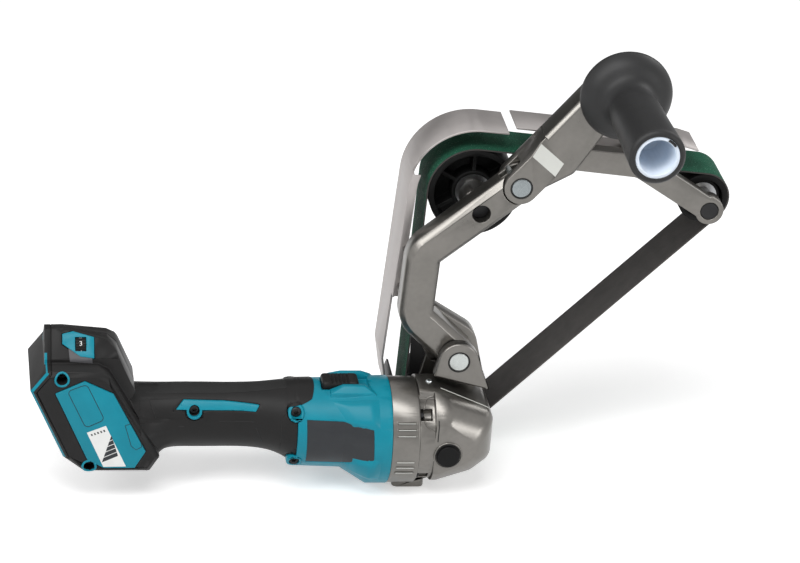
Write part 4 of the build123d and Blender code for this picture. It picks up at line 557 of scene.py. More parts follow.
def arc(which, start, end):
    """Points on a pulley between two angles, going clockwise as seen from the handle."""
    sweep = (start - end) % (2 * pi)
    count = max(6, round(sweep * belt_radii[which] / 2.0))
    return [on_pulley(which, start - sweep * step / count) for step in range(count + 1)]


def straight(start, end):
    count = max(2, round((end - start).length / 3.0))
    return [start.lerp(end, step / count) for step in range(count + 1)]


def half_way(start, end):
    """The angle in the middle of a clockwise arc."""
    return start - ((start - end) % (2 * pi)) / 2


after = [1, 2, 0]
turns = [touch_turn(which, after[which]) for which in range(3)]
middles = [half_way(turns[which - 1], turns[which]) for which in range(3)]
leave = [on_pulley(which, turns[which]) for which in range(3)]
meet = [on_pulley(after[which], turns[which]) for which in range(3)]
free_middle = leave[2].lerp(meet[2], 0.5)
first_arcs = [arc(which, middles[which], turns[which]) for which in range(3)]
last_arcs = [arc(after[which], turns[which], middles[after[which]]) for which in range(3)]
belt_lines = {
    "belt_left": first_arcs[0] + straight(leave[0], meet[0]) + last_arcs[0],
    "belt_top": first_arcs[1] + straight(leave[1], meet[1]) + last_arcs[1],
    "belt_right_high": first_arcs[2] + straight(leave[2], free_middle),
    "belt_right_low": straight(free_middle, meet[2]) + last_arcs[2],
}
belt_bodies = {
    "belt_left": ("root", "lower_arm", leave[0], meet[0]),
    "belt_top": ("lower_arm", "upper_arm", leave[1], meet[1]),
    "belt_right_high": ("upper_arm", "lower_arm", leave[2], free_middle),
    "belt_right_low": ("lower_arm", "root", free_middle, meet[2]),
}
print("belt lines", {name: len(line) for name, line in belt_lines.items()})

# %% [markdown]
# Each length becomes a ribbon.

# %% The belt itself
def line_mesh(name, points):
    """A mesh of one line of points, with the distance along it kept as the attribute run, and its length."""
    mesh = raw_mesh(name, points, [(place, place + 1) for place in range(len(points) - 1)])
    run = mesh.attributes.new("run", "FLOAT", "POINT")
    gone = 0.0
    for place in range(1, len(points)):
        gone += (points[place] - points[place - 1]).length
        run.data[place].value = gone
    return mesh, gone


def outward_faces(piece):
    """Merges a closed piece's doubles and turns its faces outwards."""
    shape = merged_shape(piece.data, 0.005)
    bmesh.ops.recalc_face_normals(shape, faces=shape.faces)
    store_shape(shape, piece.data)
    return piece


def soft_shade(piece, degrees):
    """Shades a piece smooth, apart from the edges that are sharper than an angle."""
    piece.data.shade_smooth()
    piece.data.set_sharp_from_angle(angle=radians(degrees))


loop_middle = at(63, 0, 113)
belt_sizes = {
    "Width": belt_width * MM, "Thickness": belt_thickness * MM,
    "Middle X": loop_middle.x, "Middle Z": loop_middle.z,
}
middle_y = belt_near + belt_width / 2
for name, line in belt_lines.items():
    body_a, body_b, start, end = belt_bodies[name]
    kept = [line[0]]
    for point in line[1:]:
        if (point - kept[-1]).length > 0.01:
            kept.append(point)
    source, length = line_mesh(name, [at(point.x, belt_near, point.y) for point in kept])
    piece = outward_faces(make_belt.make(name, source, "belt_cloth", belt_sizes))
    soft_shade(piece, 40)
    at(start.x, middle_y, start.y)
    at(end.x, middle_y, end.y)
    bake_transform(piece)
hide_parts("sanding_belt")

# %% [markdown]
# Screws hold the housings together: pan heads with a six lobed socket. One recipe makes a head from a
# cylinder, raises and narrows its top, sinks the socket into it and hangs the shank below, and places a
# copy on each point. Each point carries the direction in which its screw faces.

# %% A recipe for screws
screw_sizes = ["Head Radius", "Head Height", "Shank Radius", "Shank Length", "Socket Radius", "Socket Depth"]
crown_share = 0.86
lobe_share = 0.16


def screw_recipe():
    recipe = Recipe("lobed_screw", screw_sizes)
    radius, height, shank_radius, length, socket_radius, socket_depth = recipe.size.values()

    def rod(sides, radius, depth):
        inputs = {"Vertices": sides, "Radius": radius, "Depth": depth}
        return recipe.node("GeometryNodeMeshCylinder", inputs, fill_type="NGON")

    def raised(mesh, top, step):
        return recipe.extrude("FACES", {"Mesh": mesh, "Selection": top, "Offset Scale": step})

    def scaled(mesh, top, share):
        inputs = {"Geometry": mesh, "Selection": top, "Scale": share}
        return recipe.node("GeometryNodeScaleElements", inputs)

    def lifted(mesh, step):
        inputs = {"Geometry": mesh, "Translation": recipe.vector(Z=step)}
        return recipe.node("GeometryNodeTransform", inputs)

    blank = rod(36, radius, 0.8 * height)
    crown = raised(blank, blank.other("Top"), 0.2 * height)
    narrowed = scaled(crown, crown.other("Top"), crown_share)
    face = raised(narrowed, crown.other("Top"), 0.0)
    mouth = scaled(face, face.other("Top"), socket_radius / (crown_share * radius))
    place = recipe.place()
    flat = recipe.split(place)
    turn = flat.math("ARCTAN2", flat.other("Y"), flat)
    lobes = 1 + lobe_share * (turn * 6).cosine()
    star = recipe.vector_math("MULTIPLY", {0: place, 1: recipe.vector(X=lobes, Y=lobes, Z=1.0)})
    shift = {"Geometry": mouth, "Selection": face.other("Top"), "Position": star}
    lobed = recipe.node("GeometryNodeSetPosition", shift)
    head = lifted(raised(lobed, face.other("Top"), -1 * socket_depth), -0.6 * height)
    shank = lifted(rod(20, shank_radius, length), -0.5 * length - height)
    axis = recipe.named("axis", "FLOAT_VECTOR")
    facing = recipe.node("FunctionNodeAlignRotationToVector", {"Vector": axis}, axis="Z")
    copies = {"Points": recipe.source, "Instance": recipe.join(head, shank), "Rotation": facing}
    recipe.close(recipe.real(recipe.node("GeometryNodeInstanceOnPoints", copies)))
    return recipe


make_screw = screw_recipe()
print("screw sizes", len(make_screw.size))

# %% [markdown]
# The CAD model holds plain screws. Each loose piece of a screw node tells where one sits.

# %% Screws
def islands(node):
    """The corners of each loose piece of a solid node."""
    shape = merged_shape(frame["nodes"][node].data)
    left = set(shape.verts)
    found = []
    for first in shape.verts:
        if first not in left:
            continue
        left.remove(first)
        reached = [first]
        for vertex in reached:
            new = [neighbour for edge in vertex.link_edges for neighbour in edge.verts if neighbour in left]
            left.difference_update(new)
            reached += new
        found.append([vertex.co.copy() for vertex in reached])
    shape.free()
    return found


def head_place(corners, axis):
    """The middle of the outer end of a screw that faces along an axis."""
    low, high = [Vector([end(values) for values in zip(*corners)]) for end in (min, max)]
    return (low + high) / 2 + (high - low) / 2 * axis


def screw_copies(name, places, axes, finish, sizes):
    """Screws at places, each facing along its axis, with sizes in millimetres."""
    mesh = raw_mesh(name, places)
    facing = mesh.attributes.new("axis", "FLOAT_VECTOR", "POINT")
    for item, axis in zip(facing.data, axes):
        item.vector = axis
    return make_screw.make(name, mesh, finish, {label: size * MM for label, size in sizes.items()})


def screws(name, node, axis_of, sizes):
    """Screws in place of a solid node; axis_of gives the facing of a screw from its middle."""
    pieces = islands(node)
    axes = [Vector(axis_of(sum(corners, Vector()) / len(corners))) for corners in pieces]
    places = [head_place(corners, axis) for corners, axis in zip(pieces, axes)]
    finish = slot_of_node[node]
    piece = screw_copies(name, places, axes, finish, sizes)
    soft_shade(piece, 35)
    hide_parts(node)
    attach(piece, body_of_node[node])
    print(name, len(places))


handle_head = dict(zip(screw_sizes, (3.5, 2.5, 1.6, 8, 1.7, 1.6)))
motor_head = {**handle_head, "Head Radius": 3.8, "Shank Length": 5}
flange_head = dict(zip(screw_sizes, (2.4, 2.6, 1.2, 0.4, 1.25, 1.4)))
screws("handle_screw_set", "handle_screws", lambda middle: (0, -1, 0), handle_head)
screws("motor_screw_set", "motor_screws", lambda middle: (0, copysign(1, middle.y), 0), motor_head)
screws("flange_screw_set", "gear_housing_screws", lambda middle: (1, 0, 0), flange_head)

# %% [markdown]
# Most small details lie on a surface that is already there: a rim round a hole, a seam between two mouldings,
# a rubber overlay, a printed label. Two recipes make them. The bead is a thin tube along a line. The patch is
# a grid of points laid on the surface and thickened to a closed sheet.

# %% Beads and patches
def bead_recipe():
    """A tube with closed ends along a line."""
    recipe = Recipe("bead", ["Radius"])
    path = recipe.node("GeometryNodeMeshToCurve", {"Mesh": recipe.source})
    round_profile = {"Resolution": 10, "Radius": recipe.size["Radius"]}
    ring = recipe.node("GeometryNodeCurvePrimitiveCircle", round_profile)
    sweep = {"Curve": path, "Profile Curve": ring, "Fill Caps": True}
    recipe.close(recipe.real(recipe.node("GeometryNodeCurveToMesh", sweep)))
    return recipe


def patch_recipe():
    """A closed sheet that rises from an open grid along its normals."""
    recipe = Recipe("patch", ["Thickness"])
    rise = {"Mesh": recipe.source, "Offset Scale": recipe.size["Thickness"], "Individual": False}
    under = recipe.node("GeometryNodeFlipFaces", {"Mesh": recipe.source})
    recipe.close(recipe.real(recipe.merge(recipe.join(recipe.extrude("FACES", rise), under), 0.0005)))
    return recipe


make_bead = bead_recipe()
make_patch = patch_recipe()


def settle(piece, body):
    """Shades a small piece and lets it ride on a body."""
    outward_faces(piece)
    soft_shade(piece, 42)
    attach(piece, body)
    return piece


def bead(name, lines, radius, finish, body="root", closed=False):
    """Tubes along lines of points, with a radius in millimetres."""
    corners, links = [], []
    for line in lines:
        start = len(corners)
        corners += line
        links += [(start + step, start + step + 1) for step in range(len(line) - 1)]
        if closed:
            links.append((len(corners) - 1, start))
    mesh = raw_mesh(name, corners, links)
    settle(make_bead.make(name, mesh, finish, {"Radius": radius * MM}), body)


def patch(name, rows, thickness, finish, body="root", around=False):
    """A sheet on a grid of points, with a thickness in millimetres."""
    width = len(rows[0])
    faces = []
    for row in range(len(rows) - 1):
        for step in range(width if around else width - 1):
            after = (step + 1) % width
            low, high = row * width, (row + 1) * width
            faces.append((low + step, low + after, high + after, high + step))
    mesh = raw_mesh(name, [point for row in rows for point in row], faces=faces)
    settle(make_patch.make(name, mesh, finish, {"Thickness": thickness * MM}), body)


def grid(down, along, place):
    """Rows of points; place gives the point at a share of the way down and a share of the way along."""
    return [[place(row / down, step / along) for step in range(along + 1)] for row in range(down + 1)]


print("bead and patch recipes are ready")

# %% [markdown]
# Rays cast onto the solid pieces find the points of a bead or a patch, so the details follow the real curves
# and don't float or sink. Outlines are drawn as (x, z) points in millimetres before they are laid on.

# %% Rays and outlines
def onto(surface, start, way):
    """The point that a ray meets first, or else the nearest point of the surface."""
    hit = surface.ray_cast(start, way)[0]
    return hit if hit is not None else surface.find_nearest(start)[0]


def from_side(surface, side, x, z):
    """A point of the surface as seen from the near side (-1) or the far side (1)."""
    return onto(surface, at(x, 120 * side, z), Vector((0, -side, 0)))


def near_line(surface, points):
    """A line of (x, z) points laid on the near side of a surface."""
    return [from_side(surface, -1, x, z) for x, z in points]


def from_above(surface, x, y):
    return onto(surface, at(x, y, 140), Vector((0, 0, -1)))


def spoke(turn):
    """The way out from the motor's axis, turn degrees from the top towards the near side."""
    return Vector((0, -sin(radians(turn)), cos(radians(turn))))


def towards_axis(surface, x, turn, height=0.0, lift=0.0):
    """The point where a spoke leaves the surface, lifted off in millimetres."""
    way = spoke(turn)
    return onto(surface, at(x, 0, height) + way * 90 * MM, -way) + way * lift * MM


def dense(points, step=1.2):
    """A line of (a, b) points with no step longer than a length."""
    line = [points[0]]
    for start, end in zip(points, points[1:]):
        count = max(1, ceil(dist(start, end) / step))
        for part in range(1, count + 1):
            line.append(tuple(a + (b - a) * part / count for a, b in zip(start, end)))
    return line


def rounded(points, radius):
    """A closed outline of (a, b) points with its corners rounded."""
    outline = []
    for place, corner in enumerate(points):
        corner = Vector(corner)
        before = (Vector(points[place - 1]) - corner).normalized() * radius
        after = (Vector(points[(place + 1) % len(points)]) - corner).normalized() * radius
        for step in range(7):
            share = step / 6
            outline.append(tuple(corner + before * (1 - share) ** 2 + after * share**2))
    return outline


def circle(x, z, radius, count=56):
    turns = [2 * pi * step / count for step in range(count)]
    return [(x + radius * cos(turn), z + radius * sin(turn)) for turn in turns]


def ring_beads(name, surface, rings, thickness, finish, body="root"):
    """Closed beads on the near side of a surface, round circles given as x, z and radius."""
    lines = [near_line(surface, circle(*ring)) for ring in rings]
    bead(name, lines, thickness, finish, body, closed=True)


print("a circle has", len(circle(0, 0, 1)), "points")

# %% [markdown]
# The battery base is a dark moulding with a thin teal rim, moulded in two colours. The border between the
# colours is a line at a set depth under the outer faces, so the finish measures that depth from the planes
# of the faces and picks the colour from it.

# %% Two-coloured battery base
def base_finish():
    finish = Finish("base_plastic", {"IOR": 1.48, "Specular IOR Level": 0.2})
    parts = finish.split(finish.place)
    x = parts - spindle_place.x
    z = parts.other("Z") - spindle_place.z
    beside = parts.math("ABSOLUTE", parts.other("Y"))
    under_slope = 0.2608 + 0.9077 * x + 0.4196 * z
    under_shoulder = 0.2772 + 0.8031 * x - 0.5959 * z
    under_block = x.math("MINIMUM", under_slope, under_shoulder)
    under_hump = 0.2995 + x
    on_hump = finish.spread(z, 62.4 * MM, 62.6 * MM)
    depth = under_block + on_hump * (under_hump - under_block)
    edge = finish.spread(beside + on_hump * (16 * MM), 32.4 * MM, 32.6 * MM)
    rim = edge * finish.spread(depth, 1.9 * MM, 1.7 * MM)
    grain = finish.noise(0.6)
    teal, dark = [
        finish.between(rgb(*low), rgb(*high), grain) for low, high in (teal_shades, dark_shades)
    ]
    finish.feed(
        Base_Color=finish.between(dark, teal, rim),
        Roughness=0.5 + 0.1 * grain - 0.1 * rim,
        Normal=finish.bump(grain, 0.03),
    )
    return finish.material


skins["battery_base"].data.materials[0] = base_finish()
print("battery base in two colours")

# %% [markdown]
# Where the grip meets the rear block the moulding swells in a hollow curve. The piece is a sleeve: each ring
# round the grip's axis starts from the grip's own radius and grows to the block's radius along the curve.
# Under the grip the sleeve starts a little farther forward.

# %% Swell between the grip and the rear block
shells = surface_of("handle_shell_near", "handle_shell_far")
grip_height = 12.0
swell_back, swell_front = -231.0, -193.0
low_start = 6.0
hollow = 3.2


def swell_rings():
    turns = [360 * step / 96 for step in range(96)]
    axis = at(0, 0, grip_height)

    def radii(x):
        met = [towards_axis(shells, x, turn, grip_height) for turn in turns]
        return [hypot(point.y - axis.y, point.z - axis.z) for point in met]

    slim, full = radii(swell_front), radii(swell_back)
    rings = []
    for step in range(29):
        share = step / 28
        ring = []
        for turn, thin, wide in zip(turns, slim, full):
            from_top = abs((turn + 180) % 360 - 180)
            low = 0.5 - 0.5 * cos(pi * min(max((from_top - 80) / 50, 0), 1))
            start = swell_back + low_start * low
            x = start + (swell_front - start) * share
            growth = (max(wide, thin) - thin) * (1 - share) ** hollow
            proud = (0.2 * (1 - share) - 0.1) * MM
            ring.append(at(x, 0, grip_height) + spoke(turn) * (thin + growth + proud))
        rings.append(ring)
    return rings


patch("grip_swell", swell_rings(), -1.0, "dark_plastic", around=True)
print("swell behind the grip")

# %% [markdown]
# The side panel is bare apart from a moulded frame line, a latch line and a paper label. The label holds no
# words: only a wedge of rising bars, like a plain setting guide. The screw holes of the rear block wear teal
# rims.

# %% Rear block lines and rims
panels = surface_of("side_panels", "handle_shell_near", "handle_shell_far")


# Each seam line is a thin dark bead of painted shade, laid on the surface instead of cut into it.
def side_seams(name, outline, radius, surface, closed=False):
    """The same dark line on the near side and on the far side."""
    lines = [[from_side(surface, side, x, z) for x, z in dense(outline)] for side in (-1, 1)]
    bead(name, lines, radius, "seam_shadow", closed=closed)


def dial_ledge(up, along):
    return from_side(shells, -1, -281.6 - up + 16.2 * along, 65.0 + 7.6 * up - 1.4 * along)


frame_line = rounded([(-283.6, 49.6), (-270.1, 55.3), (-256.7, 27.0), (-269.8, 20.4)], 3.5)
side_seams("panel_frame_lines", frame_line, 0.22, panels, closed=True)
latch_line = [
    (-241.9, 22.3), (-237.6, 24.0), (-230.6, 14.4), (-229.6, 5.0),
    (-233.4, 2.6), (-237.0, 5.5), (-241.9, 22.3),
]
side_seams("panel_latch_lines", latch_line, 0.2, panels)
patch("dial_ledge", grid(8, 16, dial_ledge), 0.5, "inner_plastic")
holes = [(-287.5, 58.2, 4.7), (-266.5, -11.2, 4.7)]
ring_beads("hole_rims", shells, holes, 0.8, "teal_plastic")
print("rims round", len(holes), "holes")

# %% Paper label
paper_y, print_y = -36.45, -36.58
label = [Vector((-256.4, -11.2)), Vector((-268.9, 16.6)), Vector((-255.6, 22.1)), Vector((-240.2, -10.9))]
wedge_left, wedge_top, wedge_right = Vector((-257.5, -7.5)), Vector((-251.4, 14.5)), Vector((-246.2, -2.2))


def inside(corners, up, across):
    """A place between four corners, which are given clockwise from the lower left."""
    low_left, high_left, high_right, low_right = corners
    return low_left.lerp(high_left, up).lerp(low_right.lerp(high_right, up), across)


def flat_patch(name, corners, y, thickness, finish, cells=6):
    """A flat sheet on the near side between four corners."""
    places = grid(cells, cells, lambda up, across: inside(corners, up, across))
    patch(name, [[at(place.x, y, place.y) for place in row] for row in places], thickness, finish)


def printed(name, corners):
    flat_patch(name, corners, print_y, 0.06, "label_film", 2)


flat_patch("paper_label", label, paper_y, 0.15, "pale_film")
for step in range(5):
    low, high = 0.2 * step, 0.2 * step + 0.17
    bar = [wedge_left.lerp(wedge_top, low), wedge_left.lerp(wedge_top, high)]
    bar += [wedge_right.lerp(wedge_top, high), wedge_right.lerp(wedge_top, low)]
    printed("label_bar_%d" % step, bar)
for step in range(5):
    left = 0.14 + 0.16 * step
    right = left + 0.07
    places = ((0.88, left), (0.93, left), (0.93, right), (0.88, right))
    tick = [inside(label, up, across) for up, across in places]
    printed("label_tick_%d" % step, tick)
print("paper label with bars and ticks")

# %% [markdown]
# The speed dial shows plain digits. Each is bent round the wheel, and the 3 stands in the window at rest.

# %% Digits on the speed dial
dial_x, dial_y, dial_z, dial_radius = -273.9, -8.35, 71.05, 6.47
digit_height = 5.0
window_turn, digit_turn, digit_in_window = 45, 60, 3


def digit_mesh(character):
    """The filled outline of a digit from Blender's own plain font, in millimetres about its middle."""
    text = bpy.data.curves.new("digit", "FONT")
    text.body = character
    text.size = digit_height
    text.align_x = "CENTER"
    text.align_y = "CENTER"
    holder = new_piece("digit", text)
    mesh = evaluated_mesh(holder)
    bpy.data.objects.remove(holder)
    return mesh


def dial_digits():
    corners, faces = [], []
    for digit in range(1, 7):
        mesh = digit_mesh(str(digit))
        start = len(corners)
        for vertex in mesh.vertices:
            middle = radians(window_turn + digit_turn * (digit_in_window - digit))
            turn = middle + vertex.co.y / dial_radius
            y = dial_y - dial_radius * cos(turn)
            z = dial_z + dial_radius * sin(turn)
            corners.append(at(dial_x + vertex.co.x, y, z))
        faces += [[start + corner for corner in polygon.vertices] for polygon in mesh.polygons]
    mesh = raw_mesh("dial_digits", corners, faces=faces)
    shape = merged_shape(mesh, 0.001)
    bmesh.ops.triangulate(shape, faces=shape.faces)
    store_shape(shape, mesh)
    piece = make_patch.make("dial_digits", mesh, "pale_film", {"Thickness": 0.12 * MM})
    settle(piece, "speed_dial")


dial_digits()
print("digits 1 to 6 on the dial")

# %% [markdown]
# The grip is moulded twice: a dark body, then a softer rubber over its back where the palm rests. The rubber
# ends at a fine groove, and more grooves mark where the overlay runs along the sides and round the neck.

# %% Rubber overlay and its grooves
def back_rubber(along, across):
    half = 8.6 - 3.6 * along**3
    return from_above(shells, -226.0 + 110.0 * along, half - 2 * half * across)


back_rows = grid(60, 12, back_rubber)
patch("back_rubber", back_rows, 0.3, "grip_rubber")
edges = [[row[0] for row in back_rows], [row[-1] for row in back_rows]]
# The grooves at the rubber's edges are dark beads of painted shade too.
bead("back_rubber_grooves", edges, 0.3, "seam_shadow")
side_lines = {
    "overlay_groove": [(-224.0, 31.8), (-216.5, 13.6), (-198.5, 13.6)],
    "lower_groove": [(-173.1, 17.4), (-148.2, 17.4)],
    "short_groove": [(-146.6, 13.3), (-141.4, 1.2)],
    "neck_groove": [(-120.2, 30.1), (-128.5, 23.1), (-128.8, -4.0)],
}
for name, line in side_lines.items():
    side_seams(name, line, 0.28, shells)
print("overlay grooves", len(side_lines))

# %% [markdown]
# At the front the dark grip laps over the teal motor housing in a tongue. The teal flare in front of it has
# two soft swells on each side, which follow the screw bosses inside. Both are patches laid round the motor's
# axis; the swells rise in the middle and run out to nothing at their borders.

# %% Neck tongue and swells of the motor housing
motor = surface_of("motor_housing")
neck = surface_of("motor_housing", "handle_shell_near", "handle_shell_far")
swell_height = 1.6
swell_border = 0.2


def neck_tongue(along, across):
    reach = 37 - 10 * along**2
    beside = 2 * across - 1
    x = -124.0 + (20.0 - 2.6 * beside**2) * along
    return towards_axis(neck, x, reach * beside, 0, 0.05)


def swell(name, x_start, slant, x_end, turn_low, turn_high):
    """A soft rise on both sides of the motor housing; its rear border can slant."""
    for side, ending in ((1, "_near"), (-1, "_far")):

        def place(along, across):
            down = across if side > 0 else 1 - across
            start = x_start + slant * down
            turn = side * (turn_low + (turn_high - turn_low) * down)
            rise = swell_height * min(1.0, min(along, 1 - along, down, 1 - down) / swell_border)
            return towards_axis(motor, start + (x_end - start) * along, turn, 0, rise - 0.1)

        patch(name + ending, grid(18, 18, place), 0.12, "teal_plastic")


patch("neck_tongue", grid(24, 40, neck_tongue), 0.35, "dark_plastic")
swell("upper_swell", -92.0, 14.0, -58.0, 30.0, 62.0)
swell("lower_swell", -78.0, 0.0, -56.0, 97.0, 130.0)
print("neck tongue and swells")

# %% [markdown]
# The gear head is a casting with a few machined details: a rim round the shaft lock, a raised collar round the
# flange's screw notch and a small bright screw on top. Thin dark beads paint the shade in the gap round the lock
# and along the step beside it. Painted highlights run along the head's upper edge and the crests of the flange's
# ribs, as thin beads in a lighter metal than the casting.
# The rounding leaves a burr in the bore of the shaft lock, which is reamed away to let the button move.

# %% Gear head rims and edges
head = surface_of("gear_housing")
lock_x, lock_z = -6.8, -3.2
lock_bore = 8.6
lock_axis = at(lock_x, 0, lock_z)
ring_beads("lock_rim", head, [(lock_x, lock_z, 10.0)], 0.7, "cast_grey")
# A dark ring of painted shade in the gap round the lock button.
ring_beads("lock_gap_shadow", head, [(lock_x, lock_z, 8.7)], 0.45, "seam_shadow")
for corner in skins["gear_housing"].data.vertices:
    away = Vector((corner.co.x - lock_axis.x, 0, corner.co.z - lock_axis.z))
    if 5 * MM < away.length < (lock_bore - 0.05) * MM and corner.co.y < -32 * MM:
        corner.co += away.normalized() * (lock_bore * MM - away.length)
# A dark line of painted shadow along the step beside the lock.
bead("head_step_shadow", [near_line(head, [(-15.1, z) for z in range(8, 25)])], 0.4, "seam_shadow")
collar_turns = [radians(95 + 170 * step / 30) for step in range(31)]
collar_line = [(-17.0 + 8.5 * cos(turn), 25.0 + 9.5 * sin(turn)) for turn in collar_turns]
bead("notch_collar", [near_line(head, collar_line)], 0.6, "cast_grey")
# A painted highlight along the head's upper edge.
edge_line = [from_above(head, -12.0 + 1.5 * step, -9.5) for step in range(26)]
bead("head_edge_highlight", [edge_line], 0.4, "milled_face")
# Painted highlights along the crests of the flange's ribs.
rib_heights = (21.9, 17.75, 13.6, -6.9, -12.1, -17.3)
rib_lines = [near_line(head, [(-44.5 + 0.7 * step, z) for step in range(19)]) for z in rib_heights]
bead("rib_crest_highlights", rib_lines, 0.3, "milled_face")
top_place = from_above(head, -19.1, 0.5) + Vector((0, 0, 1.2 * MM))
top_head = {**flange_head, "Shank Length": 1.0}
settle(screw_copies("head_top_screw", [top_place], [(0, 0, 1)], "pin_steel", top_head), "root")
print("gear head with", len(rib_heights), "rib crests")

# %% [markdown]
# The ramp beside the elbow gets a painted highlight: a thin patch in the same lighter metal. The pins of the arms
# sit in clearance rings whose shade is painted as dark beads, and their faces show the rings that a lathe leaves.
# Both pins are the same turned steel; the elbow pin's is painted darker, as shade.

# %% Elbow ramp and pins
ramp_near = Vector((41.4, 4.0, 217.2)), Vector((60.4, 4.0, 201.0))
ramp_far = Vector((48.5, 10.0, 225.6)), Vector((67.5, 10.0, 209.4))
ramp_lift = Vector((0.02, -0.06, 0.02))
elbow, pivot = (36.7, 192.3), (1.2, 56.9)
ring_radius = 7.75


def elbow_ramp(down, along):
    left, right = [near.lerp(far, 0.04 + 0.92 * down) for near, far in zip(ramp_near, ramp_far)]
    return at(*(left.lerp(right, 0.03 + 0.94 * along) + ramp_lift))


def turned_steel(name, middle, dark, light):
    """Steel with the fine rings of a lathe about an axis, between two shades."""
    finish = Finish(name, {"Metallic": 1.0})
    axis = tuple(at(middle[0], 0, middle[1]))
    away = finish.vector_math("SUBTRACT", {0: finish.place, 1: axis})
    level = finish.vector_math("MULTIPLY", {0: away, 1: (1, 0, 1)})
    radius = finish.vector_math("LENGTH", {0: level}, "Value")
    wander = finish.noise(1.5)
    rings = (radius * (2 * pi / (0.9 * MM)) + 3 * wander).cosine() * 0.5 + 0.5
    finish.coat(dark, light, 0.6 * rings + 0.4 * wander, (0.24, 0.4), rings, rings, 0.03)
    return finish.material


# Painted highlight on the ramp's facet.
patch("ramp_painted_highlight", grid(6, 12, elbow_ramp), 0.1, "milled_face", "upper_arm")
elbow_circle, pivot_circle = (*elbow, ring_radius), (*pivot, ring_radius)
# Dark beads of painted shade in the clearance round each pin.
ring_beads("elbow_ring", surface_of("upper_arm"), [elbow_circle], 0.45, "seam_shadow", "upper_arm")
ring_beads("pivot_ring", surface_of("arm_bracket"), [pivot_circle], 0.45, "seam_shadow")
# The elbow pin's darker shades are painted shade on the same steel as the pivot pin.
elbow_shaded_steel = turned_steel("elbow_pin_steel", elbow, (108, 114, 116), (160, 166, 168))
pivot_steel = turned_steel("pivot_pin_steel", pivot, (162, 165, 163), (196, 200, 198))
skins["elbow_pin"].data.materials[0] = elbow_shaded_steel
skins["pivot_pin"].data.materials[0] = pivot_steel
skins["lock_button"].data.materials[0] = finishes["pulley_black"]
print("ramp, rings and turned pins")

# %% [markdown]
# The rim of the side handle's hollow end has a short notch, whose shade is painted as a dark bead.

# %% Notch in the handle's end
notch_turns = [radians(38 + 26 * step / 12) for step in range(13)]
notch_line = [at(102.4 + 14.3 * cos(turn), -116.6, 270 + 14.3 * sin(turn)) for turn in notch_turns]
# A dark bead of painted shade in the notch.
bead("liner_notch_shade", [notch_line], 0.9, "seam_shadow", "upper_arm")
print("notch of", len(notch_line), "points")

# %% [markdown]
# The object stands on white paper. The world is white to the camera and in reflections, and lights the
# object at a softer level. A large soft box hangs high in front, a second fills from the left, one from
# behind draws the edges and one stands at the right.

# %% World and lights
def seen_or_mirrored(net):
    """1 for rays from the camera, off a mirror or through glass, and 0 for the rest."""
    rays = net.node("ShaderNodeLightPath", {}, "Is Camera Ray")
    mirrored = rays.math("MAXIMUM", rays.other("Is Glossy Ray"), rays.other("Is Transmission Ray"))
    return rays.math("MAXIMUM", rays, mirrored)


def studio_world(level):
    """White where it is seen or mirrored, and a softer level where it lights the object."""
    world = bpy.data.worlds.new("studio")
    world.use_nodes = True
    net = Net(world.node_tree)
    net.tree.nodes.clear()
    light = net.node("ShaderNodeBackground", {"Color": (1, 1, 1, 1), "Strength": level})
    seen = net.node("ShaderNodeBackground", {"Color": (1, 1, 1, 1)})
    mix = net.node("ShaderNodeMixShader", {0: seen_or_mirrored(net), 1: light, 2: seen})
    out = net.tree.nodes.new("ShaderNodeOutputWorld")
    net.tree.links.new(mix.output, out.inputs["Surface"])
    bpy.context.scene.world = world


def soft_box(name, place, width, height, watts, aim=Vector((0.0, 0.0, 0.16))):
    """A rectangular area light at a place, turned towards the object."""
    lamp = bpy.data.lights.new(name, "AREA")
    lamp.shape = "RECTANGLE"
    lamp.size = width
    lamp.size_y = height
    lamp.energy = watts
    holder = new_piece(name, lamp)
    holder.location = place
    holder.rotation_euler = (aim - Vector(place)).to_track_quat("-Z", "Y").to_euler()


studio_world(0.3)
soft_box("high_box", (-0.45, -0.85, 2.0), 1.5, 0.9, 24)
soft_box("fill_box", (-1.7, -1.05, 1.5), 0.9, 0.9, 18)
soft_box("edge_box", (1.7, 1.2, 1.4), 1.0, 1.0, 10)
soft_box("right_box", (1.7, -1.5, 0.7), 0.6, 0.8, 11)
print("lights", len(bpy.data.lights))

# %% [markdown]
# The paper glows a little where it is seen, so that it meets the white of the world. A dark card behind,
# which the camera doesn't see, gives the top faces of the metal something dark to mirror, as in a
# photographer's tent.

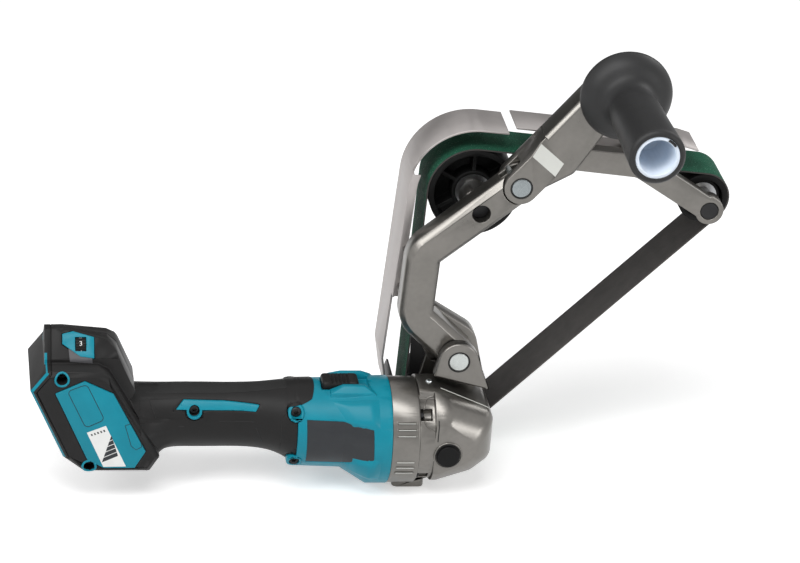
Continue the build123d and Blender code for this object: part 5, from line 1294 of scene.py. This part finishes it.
# %% Floor and card
def stage_sheet(name, corners, finish):
    """A flat sheet that belongs to the studio."""
    mesh = raw_mesh(name, corners, faces=[range(len(corners))])
    mesh.materials.append(finish.material)
    sheet = new_piece(name, mesh)
    return sheet


def floor_paper(lift):
    """White paper, with a lift where it is seen or mirrored so that it meets the white of the world."""
    plain = {"Base Color": (0.9, 0.9, 0.9, 1), "Roughness": 0.95, "Specular IOR Level": 0.1}
    paper = Finish("floor_paper", plain)
    glow = paper.node("ShaderNodeEmission", {"Strength": lift * seen_or_mirrored(paper)})
    shader = Socket(paper, paper.shader.outputs[0])
    both = paper.node("ShaderNodeAddShader", {0: shader, 1: glow})
    out = paper.tree.nodes["Material Output"]
    paper.tree.links.new(both.output, out.inputs["Surface"])
    return paper


ground = solid_box[0][2] - 0.2 * MM
reach = 6.0
floor_corners = [(x * reach, y * reach, ground) for x, y in ((-1, -1), (1, -1), (1, 1), (-1, 1))]
stage_sheet("floor", floor_corners, floor_paper(0.45))
card_finish = Finish("dark_card", {"Base Color": (0.03, 0.03, 0.03, 1), "Roughness": 0.9})
card_corners = [(-1.6, 1.5, 0.15), (1.9, 1.5, 0.15), (1.9, 1.9, 1.6), (-1.6, 1.9, 1.6)]
card = stage_sheet("dark_card", card_corners, card_finish)
card.visible_camera = False
card.visible_shadow = False
print("floor and card")

# %% [markdown]
# The camera's place and its three axes were fitted to the outlines in the photograph.

# %% Camera
camera_data = bpy.data.cameras.new("camera")
camera_data.lens = 144
camera_data.sensor_width = 36
camera = new_piece("camera", camera_data)
right = Vector((0.9886, -0.1325, 0.0720))
up = Vector((-0.0070, 0.4369, 0.8995))
back = Vector((-0.1507, -0.8897, 0.4310))
turn = Matrix((right, up, back)).transposed().to_4x4()
camera.matrix_world = Matrix.Translation((-0.3613, -2.0427, 1.1506)) @ turn
bpy.context.scene.camera = camera
bpy.context.scene.view_settings.view_transform = "Standard"
print("camera", [round(value, 3) for value in camera.location])

# %% [markdown]
# Last, the box round the solids is printed.

# %% Sizes and the end
print("solid box", solid_box)
